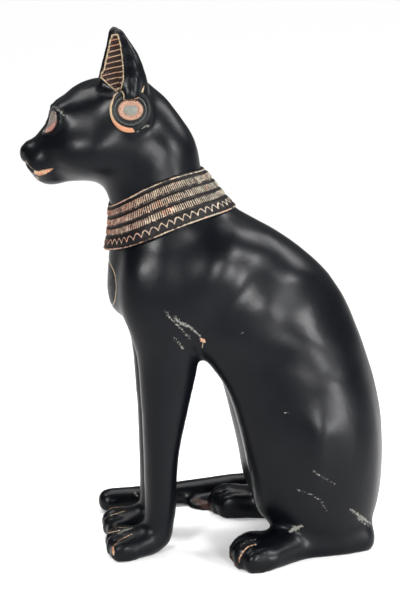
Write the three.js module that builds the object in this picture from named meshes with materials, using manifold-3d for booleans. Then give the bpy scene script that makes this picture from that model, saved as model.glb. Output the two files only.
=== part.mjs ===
// A seated cat in the Egyptian manner, cast in one piece and painted black.
// The cat looks along -Y, its left side is +X, its tail lies along its right side, and it stands on Z = 0.
import * as THREE from "three";
import { mergeVertices } from "three/addons/utils/BufferGeometryUtils.js";
import { edgeTable, triTable } from "three/addons/objects/MarchingCubes.js";
import Module from "manifold-3d";

// Driving size, in millimetres: the soles to the tips of the ears.
const HEIGHT = 300;

// Pose, proportions and carving are shares of the height, written in three-hundredths of it.
const SHARE = HEIGHT / 300;

// Fineness of the skin: its grid's cell in the same shares, and its triangles once it is thinned.
const CELL = 2;
const SKIN_TRIANGLES = 7000;

// How far the limbs run on below the ground before the soles are cut flat.
const SOLE_DEPTH = 4;

// The collar is a tilted band round the neck, of rows that stand out further towards its lower edge.
const COLLAR = {
  centre: [0, -20.7, 200],
  tilt: 17,
  facets: 48,
  // Each row's lower and upper edge along the collar's axis, and how far it stands off throat and nape.
  rows: [
    { low: -11, high: -5.9, throat: 3.3, nape: 1.3 },
    { low: -5.2, high: -1.6, throat: 2.8, nape: 2 },
    { low: -0.6, high: 4.2, throat: 2.3, nape: 2.4 },
    { low: 5.2, high: 11, throat: 1.8, nape: 2 },
  ],
  groove: 1,
  sideLift: 5,
  sink: 3,
};

// Round earrings at the foot of each ear: rings of radius and height above the lobe.
const EARRING = {
  centre: [27.2, -41.3, 256.6],
  facing: [1, -0.1, 0.04],
  facets: 24,
  sink: 10,
  profile: [
    [10.7, 0],
    [10.2, 1.4],
    [8.6, 1.5],
    [6.9, 1.3],
    [6.2, 2.3],
    [4.6, 2.3],
    [4, 1.6],
  ],
};

// Smooth curve of y against x through the given knots, level beyond its ends.
function curve(knots) {
  const last = knots.length - 1;
  const slope = (i) => {
    const [before, after] = [knots[Math.max(i - 1, 0)], knots[Math.min(i + 1, last)]];
    return (after[1] - before[1]) / (after[0] - before[0]);
  };
  const slopes = knots.map((_, i) => slope(i));
  return (x) => {
    if (x <= knots[0][0]) return knots[0][1];
    if (x >= knots[last][0]) return knots[last][1];
    let i = 0;
    while (x > knots[i + 1][0]) i++;
    const [[x0, y0], [x1, y1]] = [knots[i], knots[i + 1]];
    const width = x1 - x0;
    const t = (x - x0) / width;
    const rise = 3 * t * t - 2 * t * t * t;
    const lean = t * (1 - t) * width;
    return y0 + (y1 - y0) * rise + lean * ((1 - t) * slopes[i] - t * slopes[i + 1]);
  };
}

// Two forms joined: within the given width they flow together.
function join(a, b, width) {
  const near = Math.max(width - Math.abs(a - b), 0);
  return Math.min(a, b) - (near * near) / (4 * width);
}

// A form with another cut out of it, the edge softened over the given width.
function cut(a, b, width) {
  return -join(-a, b, width);
}

// Length of a vector.
function length(x, y, z) {
  return Math.sqrt(x * x + y * y + z * z);
}

// About the distance from (x, y, z) to an ellipsoid's skin, from its centre and its three radii.
function egg(x, y, z, [rx, ry, rz]) {
  const inside = length(x / rx, y / ry, z / rz);
  const pull = length(x / (rx * rx), y / (ry * ry), z / (rz * rz));
  return pull < 1e-9 ? -Math.min(rx, ry, rz) : (inside * (inside - 1)) / pull;
}

// An ellipsoid whose first radius lies along facing and whose third lies about along the given length.
function lens(centre, radii, facing, lengthwise) {
  const out = new THREE.Vector3(...facing).normalize();
  const across = new THREE.Vector3(...lengthwise).cross(out).normalize();
  const back = new THREE.Matrix4().makeBasis(out, across, across.clone().cross(out).negate()).transpose();
  const local = new THREE.Vector3();
  return (x, y, z) => {
    local.set(x - centre[0], y - centre[1], z - centre[2]).applyMatrix4(back);
    return egg(local.x, local.y, local.z, radii);
  };
}

// An ellipsoid, pitched about X and turned about Z by degrees.
function ball(centre, radii, pitch = 0, turn = 0) {
  const place = new THREE.Euler((pitch * Math.PI) / 180, 0, (turn * Math.PI) / 180, "ZYX");
  const back = new THREE.Matrix4().makeRotationFromEuler(place).transpose();
  const local = new THREE.Vector3();
  return (x, y, z) => {
    local.set(x - centre[0], y - centre[1], z - centre[2]).applyMatrix4(back);
    return egg(local.x, local.y, local.z, radii);
  };
}

// An upright form of level ellipses: z, front, back, inner side, outer side of each section.
function column(sections) {
  const edges = [1, 2, 3, 4].map((k) => curve(sections.map((s) => [s[0], s[k]])));
  const [bottom, top] = [sections[0][0], sections[sections.length - 1][0]];
  const shape = (z) => {
    const [front, back, inner, outer] = edges.map((edge) => edge(z));
    return [(inner + outer) / 2, (front + back) / 2, (outer - inner) / 2, (back - front) / 2];
  };
  const step = 0.5;
  const levels = Array.from({ length: Math.round((top - bottom) / step) + 1 }, (_, n) => {
    const z = bottom + n * step;
    const [here, above, below] = [z, z + step, z - step].map(shape);
    return [...here, ...here.map((_, k) => (above[k] - below[k]) / (2 * step))];
  });
  return (x, y, z) => {
    const level = Math.min(Math.max(z, bottom), top);
    const at = (level - bottom) / step;
    const low = Math.min(Math.floor(at), levels.length - 2);
    const [a, b, share] = [levels[low], levels[low + 1], at - low];
    const mix = (k) => a[k] + (b[k] - a[k]) * share;
    const [dx, dy, rx, ry] = [x - mix(0), y - mix(1), mix(2), mix(3)];
    if (z < bottom || z > top) return egg(dx, dy, z - level, [rx, ry, Math.min(rx, ry)]);
    const [nx, ny] = [dx / (rx * rx), dy / (ry * ry)];
    const n = Math.max(length(nx, ny, 0), 1e-9);
    const [ux, uy] = [nx / n, ny / n];
    const reach = Math.max(length(rx * ux, ry * uy, 0), 1e-9);
    const swell = (rx * mix(6) * ux * ux + ry * mix(7) * uy * uy) / reach;
    const lean = mix(4) * ux + mix(5) * uy + swell;
    return (dx * ux + dy * uy - reach) / Math.sqrt(1 + lean * lean);
  };
}

// A limb round a curved spine: each station has its place, its half width and its half depth.
function limb(stations, { pieces = 20, cap = 1 } = {}) {
  const spine = new THREE.CatmullRomCurve3(stations.map((s) => new THREE.Vector3(...s.at)));
  const sizes = new THREE.CatmullRomCurve3(
    stations.map((s) => new THREE.Vector3(s.wide, s.deep, 0)),
    false,
    "catmullrom",
  );
  const nodes = Array.from({ length: pieces + 1 }, (_, i) => {
    const t = i / pieces;
    const along = spine.getTangent(t);
    const size = sizes.getPoint(t);
    const side = new THREE.Vector3(1, 0, 0).addScaledVector(along, -along.x);
    if (Math.abs(along.x) > 0.8) side.set(0, 1, 0).addScaledVector(along, -along.y);
    side.normalize();
    return { at: spine.getPoint(t), along, side, wide: size.x, deep: size.y };
  });
  const [axis, p, d, n] = [0, 1, 2, 3].map(() => new THREE.Vector3());
  return (x, y, z) => {
    p.set(x, y, z);
    let best = Infinity;
    let from = 0;
    let share = 0;
    for (let i = 0; i < pieces; i++) {
      const [a, b] = [nodes[i].at, nodes[i + 1].at];
      axis.subVectors(b, a);
      const t = Math.min(Math.max(d.subVectors(p, a).dot(axis) / axis.lengthSq(), 0), 1);
      const gap = d.addScaledVector(axis, -t).lengthSq();
      if (gap < best) [best, from, share] = [gap, i, t];
    }
    const [a, b] = [nodes[from], nodes[from + 1]];
    const mix = (u, v) => u + (v - u) * share;
    const [wide, deep] = [mix(a.wide, b.wide), mix(a.deep, b.deep)];
    const along = axis.copy(a.along).lerp(b.along, share).normalize();
    d.set(x - mix(a.at.x, b.at.x), y - mix(a.at.y, b.at.y), z - mix(a.at.z, b.at.z));
    const side = n.copy(a.side).lerp(b.side, share).addScaledVector(along, -n.dot(along)).normalize();
    const [over, out] = [d.dot(along), d.dot(side)];
    d.addScaledVector(along, -over).addScaledVector(side, -out);
    return egg(out, d.length(), over, [wide, deep, cap * Math.min(wide, deep)]);
  };
}

// Trunk, from the ground up into the neck: the profile of chest, back and rump.
const trunk = column([
  [-4, 46, 98, -24, 24],
  [2, 46, 98, -24, 24],
  [14, 38, 103.5, -31, 31],
  [25, 34, 107.2, -34, 34],
  [40, 31, 108.6, -37, 37],
  [60, 28, 108.2, -39, 39],
  [80, 24, 106.2, -40, 40],
  [100, 18, 101.4, -40, 40],
  [112, 10, 97.4, -39.5, 39.5],
  [120, 1.6, 94.6, -39.2, 39.2],
  [127, -14, 92, -39, 39],
  [134, -36, 89, -38.6, 38.6],
  [142, -49.2, 85.6, -38, 38],
  [151, -53.2, 80.6, -37.4, 37.4],
  [162, -53.4, 72.4, -36.6, 36.6],
  [171, -52.8, 63, -35.6, 35.6],
  [181, -52, 50.6, -33.8, 33.8],
  [190, -50.6, 36, -31.2, 31.2],
  [197, -50, 23.8, -29, 29],
  [205, -48, 12, -26, 26],
  [214, -45, 0, -22, 22],
  [224, -46, -4, -20, 20],
  [230, -46, -4, -20, 20],
]);

// Neck, leaning forward from the shoulders to the back of the skull.
const neck = limb(
  [
    { at: [0, -20.8, 201], wide: 25, deep: 26 },
    { at: [0, -25.4, 212], wide: 23.8, deep: 25.8 },
    { at: [0, -33, 231], wide: 22.4, deep: 26.6 },
    { at: [0, -40.4, 247], wide: 21, deep: 25.8 },
    { at: [0, -46.6, 258], wide: 17, deep: 21 },
  ],
  { cap: 0.6 },
);

// Haunch: flank, thigh and shin folded into one long swelling over the hind foot.
const haunch = column([
  [10, 46, 92, 14, 32],
  [16, 39, 95, 8, 37.6],
  [25, 30.4, 97, 4, 41.4],
  [36, 27, 97.6, 3, 44.4],
  [48, 25, 97.6, 2, 46.2],
  [64, 21.4, 96.6, 2, 46.8],
  [80, 17.6, 93.6, 2, 45.8],
  [92, 14.2, 90.2, 2, 44],
  [100, 11, 86.8, 2, 42.4],
  [108, 6.2, 82.8, 2, 40.8],
  [115, 0.6, 78.6, 2, 39.4],
  [121, -5.4, 74.8, 2, 38.3],
  [128, -9.6, 69.6, 2, 37.1],
  [138, -10.6, 62, 2, 35],
  [150, -8, 50, 4, 30.4],
  [162, 0, 38, 6, 22],
  [174, 8, 28, 8, 14],
  [182, 8, 28, 8, 14],
]);

// Foreleg: shoulder, elbow, shank and wrist.
const foreleg = column([
  [14, -35.6, -19, 6.4, 24.2],
  [20, -35.4, -17.6, 5.8, 24.4],
  [30, -35, -16.4, 5.2, 24.8],
  [42, -35, -16.4, 4.8, 24.8],
  [62, -35.4, -14.6, 4.6, 25.4],
  [80, -36, -11, 4.3, 26.6],
  [100, -37.2, -6.8, 4, 28.4],
  [112, -38, -4.4, 3.8, 30],
  [122, -39.4, -2.2, 3.6, 32],
  [132, -42.5, 2, 3.4, 34.6],
  [145, -46.5, 7, 3.4, 37.6],
  [158, -47, 9, 3.4, 38.2],
  [172, -44, 6, 3.4, 35],
  [184, -42, 2, 3.4, 31],
  [192, -42, 2, 3.4, 31],
]);

// Soft swellings of shoulder and shoulder blade, which catch the light.
const shoulderPoint = ball([25, -31, 168], [11, 13.6, 15.6]);
const shoulderBlade = ball([22.4, 6, 171], [14, 13, 21], -18);

// Fore paw: heel, ball and four toes.
const pawBase = limb([
  { at: [14.6, -29, 9], wide: 9, deep: 7.6 },
  { at: [15, -33, 7.8], wide: 11.4, deep: 9 },
  { at: [15, -42, 6.4], wide: 13.4, deep: 8.8 },
  { at: [15, -48, 5], wide: 13.8, deep: 8 },
]);
const pawToes = [
  { at: [4.4, -47.6, 5.6], radii: [4.8, 9, 7.4], turn: -6 },
  { at: [11.4, -49.4, 6.2], radii: [4.8, 9.2, 8.4], turn: -2 },
  { at: [18.6, -49.4, 6.2], radii: [4.8, 9.2, 8.4], turn: 2 },
  { at: [25.3, -47.6, 5.6], radii: [4.8, 9, 7.4], turn: 6 },
].map((toe) => ball(toe.at, toe.radii, 0, toe.turn));
const hindToes = [
  { at: [29.4, 25, 6], radii: [5.2, 11, 9.6], turn: 8 },
  { at: [36, 22, 6.6], radii: [5.6, 11.8, 10.8], turn: 12 },
  { at: [43, 23, 6.4], radii: [5.6, 11.8, 10.6], turn: 16 },
  { at: [48.8, 27.6, 5.4], radii: [5.2, 11, 9], turn: 20 },
].map((toe) => ball(toe.at, toe.radii, 0, toe.turn));

// Hind foot: from the heel along the ground to the ball of the toes.
const footBase = limb([
  { at: [26, 90.4, 6.6], wide: 9, deep: 11 },
  { at: [28, 78, 6.2], wide: 10, deep: 11.8 },
  { at: [30, 54, 6], wide: 10.6, deep: 12.4 },
  { at: [35.8, 37, 6], wide: 13.2, deep: 11.4 },
  { at: [39, 30, 5.6], wide: 14, deep: 10.4 },
]);

// Tail: from the rump round the right haunch and along the ground to a blunt tip by the fore paws.
const tail = limb(
  [
    { at: [-4, 95, 12], wide: 9.5, deep: 12 },
    { at: [-24, 96.5, 9.5], wide: 9, deep: 10 },
    { at: [-45, 88, 7.5], wide: 8.2, deep: 8.4 },
    { at: [-61, 70, 6.6], wide: 7.4, deep: 7.4 },
    { at: [-68.5, 38, 6.4], wide: 7, deep: 7 },
    { at: [-62.5, 8, 6.2], wide: 7.6, deep: 7 },
    { at: [-56, -18, 6.2], wide: 7.8, deep: 7.2 },
    { at: [-52.6, -38, 6.4], wide: 7.8, deep: 7.4 },
    { at: [-51, -51, 6.6], wide: 7.6, deep: 7.4 },
  ],
  { pieces: 32 },
);

// The casting's web between the tail and the right hind toes.
const tailWeb = ball([-51.5, 9.5, 0.6], [10.4, 12, 5]);

// Head: skull, cheeks, muzzle, chin, brow and nose.
const skull = ball([0, -54.8, 245.8], [25, 27.4, 26.8], 6);
const cheek = ball([12.5, -62, 234.6], [13.4, 20, 12.8]);
const muzzle = limb(
  [
    { at: [0, -60, 236.4], wide: 18.6, deep: 14.6 },
    { at: [0, -75, 234], wide: 14.8, deep: 17.4 },
    { at: [0, -86, 231.4], wide: 11.8, deep: 12.8 },
    { at: [0, -91.4, 230.4], wide: 9, deep: 9.2 },
  ],
  { cap: 0.7 },
);
const muzzlePad = ball([6, -88, 227], [7.2, 8, 6.8]);
const chin = ball([0, -83.6, 220], [7.2, 8.4, 5.6]);
const nose = ball([0, -95.8, 232.6], [4.8, 4.2, 3.8]);
const brow = ball([9.4, -74, 252.8], [8.4, 9, 7], -30, 16);
const eye = lens([12.2, -78.6, 251], [4.2, 4.4, 8.2], [0.6, -0.78, 0.12], [0.33, 0.38, 0.86]);

// Ear: a tall curved cone with a hollow, ribbed front that faces forwards and outwards.
const earCone = limb([
  { at: [15.4, -42.4, 250], wide: 9, deep: 10.8 },
  { at: [17, -43.2, 261], wide: 9.6, deep: 12.4 },
  { at: [18.2, -44, 272], wide: 9, deep: 12.4 },
  { at: [19, -44.4, 282], wide: 7.3, deep: 9.6 },
  { at: [19.4, -45, 290], wide: 5.2, deep: 6.3 },
  { at: [19.6, -46, 296.4], wide: 3.4, deep: 3.6 },
]);
const earHollow = limb(
  [
    { at: [27.8, -54.4, 268], wide: 10, deep: 10 },
    { at: [27.5, -54, 274], wide: 9.8, deep: 9.8 },
    { at: [26.7, -53.2, 281], wide: 8.4, deep: 8.4 },
    { at: [25.4, -51.6, 289], wide: 5.8, deep: 5.8 },
    { at: [23.6, -50, 294], wide: 3.2, deep: 3.2 },
  ],
  { cap: 0.4 },
);

// The head, its features and its ears; both sides are alike, so side is the distance from the middle.
function headForm(side, y, z) {
  let head = join(skull(side, y, z), cheek(side, y, z), 12);
  head = join(head, muzzle(side, y, z), 9);
  head = join(head, muzzlePad(side, y, z), 5);
  head = join(head, chin(side, y, z), 5);
  head = join(head, nose(side, y, z), 6);
  head = join(head, brow(side, y, z), 7);
  head = join(head, eye(side, y, z), 1.5);
  const ear = cut(earCone(side, y, z), earHollow(side, y, z), 2);
  return join(head, ear, 5);
}

// The feet: fore paws and hind feet with their toes.
function feetForm(side, y, z) {
  const toes = pawToes.reduce((made, toe) => join(made, toe(side, y, z), 2), 99);
  const hind = hindToes.reduce((made, toe) => join(made, toe(side, y, z), 2), 99);
  return Math.min(join(pawBase(side, y, z), toes, 2.5), join(footBase(side, y, z), hind, 3));
}

// The shoulder swellings of one side.
function shoulders(side, y, z) {
  return join(shoulderPoint(side, y, z), shoulderBlade(side, y, z), 8);
}

// Levels above which there are no feet or tail, and below which there is no head.
const FEET_TOP = 34;
const HEAD_FOOT = 192;

// How softly each foreleg runs into the body: a sharp fold at the elbow, a soft one over the shoulder.
const elbowFold = curve([[112, 2], [126, 3], [150, 8]]);

// The right haunch lies a little further back than the left one.
const HAUNCH_LAG = 1.2;

// The whole casting without its collar and earrings, as about the distance to its skin.
function cat(x, y, z) {
  const side = Math.abs(x);
  let body = trunk(x, y, z);
  const haunches = z < 190 ? join(haunch(x, y, z), haunch(-x, y - HAUNCH_LAG, z), 14) : 99;
  body = join(body, haunches, 12);
  if (z > 170) body = join(body, neck(x, y, z), 10);
  if (z > 125 && z < 212) body = join(body, shoulders(side, y, z), 10);
  if (z < 215 && y < 40) body = join(body, join(foreleg(x, y, z), foreleg(-x, y, z), 5), elbowFold(z));
  if (z < FEET_TOP) body = join(body, feetForm(side, y, z), 5);
  if (z < FEET_TOP && x < 10) body = join(body, join(tail(x, y, z), tailWeb(x, y, z), 3), 4);
  return z > HEAD_FOOT ? join(body, headForm(side, y, z), 10) : body;
}

// The box that holds the casting, and a grid of cells over it.
const LOW = [-86, -110, -SOLE_DEPTH];
const HIGH = [66, 118, 304];
const counts = LOW.map((low, k) => Math.ceil((HIGH[k] - low) / CELL) + 1);
const nodeIndex = (i, j, k) => i + counts[0] * (j + counts[1] * k);

// The form's value at each grid node, closed off at the grid's own walls.
// Blocks of cells far from the skin share one value.
function sampled(form) {
  const values = new Float32Array(counts[0] * counts[1] * counts[2]);
  const block = 5;
  const reach = block * CELL;
  for (let k0 = 0; k0 < counts[2]; k0 += block)
    for (let j0 = 0; j0 < counts[1]; j0 += block)
      for (let i0 = 0; i0 < counts[0]; i0 += block) {
        const middle = [i0, j0, k0].map((first, n) => LOW[n] + (first + (block - 1) / 2) * CELL);
        const far = form(...middle);
        for (let k = k0; k < Math.min(k0 + block, counts[2]); k++)
          for (let j = j0; j < Math.min(j0 + block, counts[1]); j++)
            for (let i = i0; i < Math.min(i0 + block, counts[0]); i++) {
              const place = [LOW[0] + i * CELL, LOW[1] + j * CELL, LOW[2] + k * CELL];
              const value = Math.abs(far) > reach ? far : form(...place);
              const wall = [i, j, k].some((index, n) => index === 0 || index === counts[n] - 1);
              values[nodeIndex(i, j, k)] = wall ? Math.max(value, CELL / 2) : value;
            }
      }
  return values;
}

// The skin of a form as triangles, by marching through the grid's cells.
function skinOf(form) {
  const values = sampled(form);
  const square = [[0, 0], [1, 0], [1, 1], [0, 1]];
  const corners = [0, 1].flatMap((level) => square.map(([i, j]) => [i, j, level]));
  const ring = [0, 1, 2, 3].map((n) => [n, (n + 1) % 4]);
  const edges = [...ring, ...ring.map(([a, b]) => [a + 4, b + 4]), ...[0, 1, 2, 3].map((n) => [n, n + 4])];
  const points = [];
  const faces = [];
  const made = new Map();
  const crossing = (i, j, k, edge) => {
    const ends = edges[edge].map((c) => [i + corners[c][0], j + corners[c][1], k + corners[c][2]]);
    const ids = ends.map((e) => nodeIndex(...e));
    const key = Math.min(...ids) * 3 + ends[0].findIndex((v, n) => v !== ends[1][n]);
    if (!made.has(key)) {
      const [a, b] = ids.map((id) => values[id]);
      const t = Math.min(Math.max(a / (a - b), 0.04), 0.96);
      made.set(key, points.length);
      points.push(ends[0].map((v, n) => LOW[n] + (v + (ends[1][n] - v) * t) * CELL));
    }
    return made.get(key);
  };
  for (let k = 0; k < counts[2] - 1; k++)
    for (let j = 0; j < counts[1] - 1; j++)
      for (let i = 0; i < counts[0] - 1; i++) {
        let kind = 0;
        corners.forEach((c, n) => {
          if (values[nodeIndex(i + c[0], j + c[1], k + c[2])] < 0) kind |= 1 << n;
        });
        if (edgeTable[kind] === 0) continue;
        for (let n = kind * 16; triTable[n] !== -1; n += 3)
          faces.push([2, 1, 0].map((m) => crossing(i, j, k, triTable[n + m])));
      }
  return { points, faces };
}

// Adds the plane of a triangle to the error sums of its corners, by its area.
function planeSums(points, faces) {
  const sums = points.map(() => new Float64Array(10));
  const [e1, e2, n] = [0, 1, 2].map(() => new THREE.Vector3());
  for (const face of faces) {
    const [a, b, c] = face.map((i) => points[i]);
    n.crossVectors(e1.subVectors(b, a), e2.subVectors(c, a));
    const area = n.length();
    if (area < 1e-9) continue;
    n.divideScalar(area);
    const [x, y, z, w] = [n.x, n.y, n.z, -n.dot(a)];
    const terms = [x * x, x * y, x * z, x * w, y * y, y * z, y * w, z * z, z * w, w * w];
    for (const i of face) terms.forEach((term, k) => (sums[i][k] += term * area));
  }
  return sums;
}

// The place where two joined corners cost the least, and that cost.
function bestPlace(q, a, b) {
  const cost = (p) =>
    q[0] * p.x * p.x + 2 * q[1] * p.x * p.y + 2 * q[2] * p.x * p.z + 2 * q[3] * p.x +
    q[4] * p.y * p.y + 2 * q[5] * p.y * p.z + 2 * q[6] * p.y +
    q[7] * p.z * p.z + 2 * q[8] * p.z + q[9];
  const middle = new THREE.Vector3().addVectors(a, b).multiplyScalar(0.5);
  const solve = new THREE.Matrix3().set(q[0], q[1], q[2], q[1], q[4], q[5], q[2], q[5], q[7]);
  const spread = q[0] + q[4] + q[7];
  const choices = [middle, a.clone(), b.clone()];
  if (Math.abs(solve.determinant()) > 1e-4 * spread ** 3) {
    const point = new THREE.Vector3(-q[3], -q[6], -q[8]).applyMatrix3(solve.invert());
    if (point.distanceTo(middle) < 1.5 * a.distanceTo(b)) choices.unshift(point);
  }
  const costs = choices.map(cost);
  const pick = costs.indexOf(Math.min(...costs));
  return { place: choices[pick], cost: costs[pick] + 1e-3 * a.distanceToSquared(b) };
}

// A queue that gives its cheapest entry first.
class Queue {
  entries = [];
  push(entry) {
    const list = this.entries;
    let i = list.push(entry) - 1;
    while (i > 0 && list[(i - 1) >> 1].cost > list[i].cost) {
      const up = (i - 1) >> 1;
      [list[i], list[up]] = [list[up], list[i]];
      i = up;
    }
  }
  pop() {
    const list = this.entries;
    const first = list[0];
    const last = list.pop();
    if (list.length === 0) return first;
    list[0] = last;
    let i = 0;
    for (;;) {
      let least = i;
      for (const down of [2 * i + 1, 2 * i + 2])
        if (down < list.length && list[down].cost < list[least].cost) least = down;
      if (least === i) return first;
      [list[i], list[least]] = [list[least], list[i]];
      i = least;
    }
  }
}

// The skin with fewer triangles: the pairs of corners whose merging changes its shape least are merged.
function thinned({ points, faces }, wanted) {
  const corners = points.map((p) => new THREE.Vector3(...p));
  const sums = planeSums(corners, faces);
  const around = corners.map(() => new Set());
  faces.forEach((face, f) => face.forEach((i) => around[i].add(f)));
  const version = new Uint32Array(corners.length);
  const queue = new Queue();
  const neighbours = (i) => {
    const found = new Set();
    for (const f of around[i]) for (const j of faces[f]) if (j !== i) found.add(j);
    return found;
  };
  const offer = (a, b) => {
    const merged = sums[a].map((term, k) => term + sums[b][k]);
    const { place, cost } = bestPlace(merged, corners[a], corners[b]);
    queue.push({ a, b, place, cost, merged, seen: version[a] + version[b] });
  };
  const [e1, e2, was, is] = [0, 1, 2, 3].map(() => new THREE.Vector3());
  const turns = (i, other, place) => {
    for (const f of around[i]) {
      if (faces[f].includes(other)) continue;
      const now = faces[f].map((j) => (j === i ? place : corners[j]));
      const before = faces[f].map((j) => corners[j]);
      was.crossVectors(e1.subVectors(before[1], before[0]), e2.subVectors(before[2], before[0]));
      is.crossVectors(e1.subVectors(now[1], now[0]), e2.subVectors(now[2], now[0]));
      if (is.dot(was) < 0.3 * is.length() * was.length() || is.length() < 1e-3) return true;
    }
    return false;
  };
  corners.forEach((_, a) => neighbours(a).forEach((b) => a < b && offer(a, b)));
  let count = faces.length;
  while (count > wanted) {
    const { a, b, place, merged, seen } = queue.pop();
    if (seen !== version[a] + version[b] || !around[a].size || !around[b].size) continue;
    const shared = [...neighbours(a)].filter((j) => neighbours(b).has(j));
    if (shared.length !== 2 || turns(a, b, place) || turns(b, a, place)) continue;
    for (const f of around[b]) {
      if (faces[f].includes(a)) {
        faces[f].forEach((j) => j !== b && around[j].delete(f));
        count--;
      } else {
        faces[f] = faces[f].map((j) => (j === b ? a : j));
        around[a].add(f);
      }
    }
    around[b].clear();
    version[a]++;
    version[b]++;
    corners[a].copy(place);
    sums[a] = merged;
    neighbours(a).forEach((j) => offer(a, j));
  }
  const kept = faces.filter((face, f) => face.every((i) => around[i].has(f)));
  return { points: corners, faces: kept };
}

// A geometry from corners and triangles, its corners brought from shares of the height to millimetres.
function geometryOf(points, faces) {
  const sized = points.map((point) => point.clone().multiplyScalar(SHARE));
  return new THREE.BufferGeometry().setFromPoints(sized).setIndex(faces.flat());
}

// Place on the collar's own axis: h along it, r away from it, at an angle round it.
const collarTilt = new THREE.Quaternion().setFromAxisAngle(
  new THREE.Vector3(1, 0, 0),
  (COLLAR.tilt * Math.PI) / 180,
);
function onCollar(angle, r, h) {
  const lifted = h + COLLAR.sideLift * Math.sin(angle) ** 2;
  return new THREE.Vector3(r * Math.sin(angle), -r * Math.cos(angle), lifted)
    .applyQuaternion(collarTilt)
    .add(new THREE.Vector3(...COLLAR.centre));
}

// The place on the neck's skin at an angle and height on the collar, and the way out of the skin there.
function onNeck(angle, h) {
  let [inside, outside] = [8, 70];
  for (let n = 0; n < 24; n++) {
    const middle = (inside + outside) / 2;
    if (cat(...onCollar(angle, middle, h)) < 0) inside = middle;
    else outside = middle;
  }
  const place = onCollar(angle, inside, h);
  const here = cat(...place);
  const step = 0.2;
  const out = ["x", "y", "z"].map((axis) => {
    const beside = place.clone();
    beside[axis] += step;
    return cat(...beside) - here;
  });
  return { place, out: new THREE.Vector3(...out).normalize() };
}

// The collar's profile at an angle round it, from its sunk lower edge to its sunk upper edge:
// places along the axis, each with how far it stands off the neck.
function collarProfile(angle) {
  const { rows, sink, groove } = COLLAR;
  const back = (1 - Math.cos(angle)) / 2;
  const stand = (row) => row.throat + (row.nape - row.throat) * back;
  const steps = rows.flatMap((row, n) => {
    const face = [[row.low, stand(row)], [row.high, stand(row)]];
    const next = rows[n + 1];
    if (!next) return face;
    const floor = Math.min(stand(row), stand(next)) - groove;
    return [...face, [row.high + 0.3, floor], [next.low - 0.3, floor]];
  });
  return [[rows[0].low, -sink], ...steps, [rows[rows.length - 1].high, -sink]];
}

// The collar: a closed ring of that profile, laid on the neck all round.
function collarForm() {
  const points = [];
  const faces = [];
  for (let n = 0; n < COLLAR.facets; n++) {
    const angle = (n / COLLAR.facets) * 2 * Math.PI;
    const profile = collarProfile(angle);
    for (const [h, stand] of profile) {
      const { place, out } = onNeck(angle, h);
      points.push(place.addScaledVector(out, stand));
    }
    const [here, next] = [n, (n + 1) % COLLAR.facets].map((ring) => ring * profile.length);
    profile.forEach((_, k) => {
      const up = (k + 1) % profile.length;
      faces.push([here + k, next + k, next + up], [here + k, next + up, here + up]);
    });
  }
  return geometryOf(points, faces);
}

// An earring on the given side of the head: a turned disc of rings, its foot sunk in the cheek.
function earringForm(side) {
  const { centre, profile, sink } = EARRING;
  const outline = [[0, -sink], [profile[0][0], -sink], ...profile, [0, profile[profile.length - 1][1]]]
    .map(([r, h]) => new THREE.Vector2(r * SHARE, h * SHARE));
  const disc = mergedGeometry(new THREE.LatheGeometry(outline, EARRING.facets));
  const facing = new THREE.Vector3(...EARRING.facing).normalize();
  facing.x *= side;
  disc.applyQuaternion(new THREE.Quaternion().setFromUnitVectors(new THREE.Vector3(0, 1, 0), facing));
  return disc.translate(side * centre[0] * SHARE, centre[1] * SHARE, centre[2] * SHARE);
}

// A three.js geometry with its shared corners merged and nothing but positions.
function mergedGeometry(geometry) {
  geometry.deleteAttribute("normal");
  geometry.deleteAttribute("uv");
  return mergeVertices(geometry, 1e-4);
}

const wasm = await Module();
wasm.setup();

// A geometry as a solid that can be joined and cut.
function solidOf(geometry) {
  const vertProperties = new Float32Array(geometry.attributes.position.array);
  return new wasm.Manifold(
    new wasm.Mesh({ numProp: 3, vertProperties, triVerts: new Uint32Array(geometry.index.array) }),
  );
}

// The figure: the thinned skin with its collar and earrings, cut flat at the soles.
function figure() {
  const skin = thinned(skinOf(cat), SKIN_TRIANGLES);
  let solid = solidOf(geometryOf(skin.points, skin.faces));
  solid = solid.add(solidOf(collarForm()));
  for (const side of [1, -1]) solid = solid.add(solidOf(earringForm(side)));
  const size = HIGH.map((high, k) => 2 * (high - LOW[k]) * SHARE);
  const ground = new THREE.BoxGeometry(...size).translate(0, 0, -size[2] / 2);
  solid = solid.subtract(solidOf(mergedGeometry(ground)));
  const mesh = solid.getMesh();
  const geometry = new THREE.BufferGeometry()
    .setAttribute("position", new THREE.BufferAttribute(mesh.vertProperties, 3))
    .setIndex(new THREE.BufferAttribute(mesh.triVerts, 1));
  geometry.computeBoundingBox();
  const { min, max } = geometry.boundingBox;
  return geometry.translate(-(min.x + max.x) / 2, -(min.y + max.y) / 2, 0);
}

const paint = new THREE.MeshStandardMaterial({ color: 0x1d1f21, roughness: 0.42, metalness: 0 });
const part = new THREE.Group();
const cast = new THREE.Mesh(figure(), paint);
cast.name = "cat_figure";
part.add(cast);

export default part;
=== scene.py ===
"""A seated cat in the Egyptian manner, cast in resin and painted satin black with rubbed gilt trim.

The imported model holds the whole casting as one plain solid. This script shows it as it is finished: the body
with its finer carving and worn paint, the ribbed collar and the two round earrings.
Sizes are millimetres in the cat's own measure until a mesh is laid in the frame, which is in metres.
"""

import logging
import math
from collections.abc import Sequence
from dataclasses import dataclass
from enum import Enum

import bmesh
import bpy
import numpy as np
from bmesh.types import BMesh
from bpy.types import Material, Object
from mathutils import Matrix, Vector
from mathutils.bvhtree import BVHTree


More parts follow.
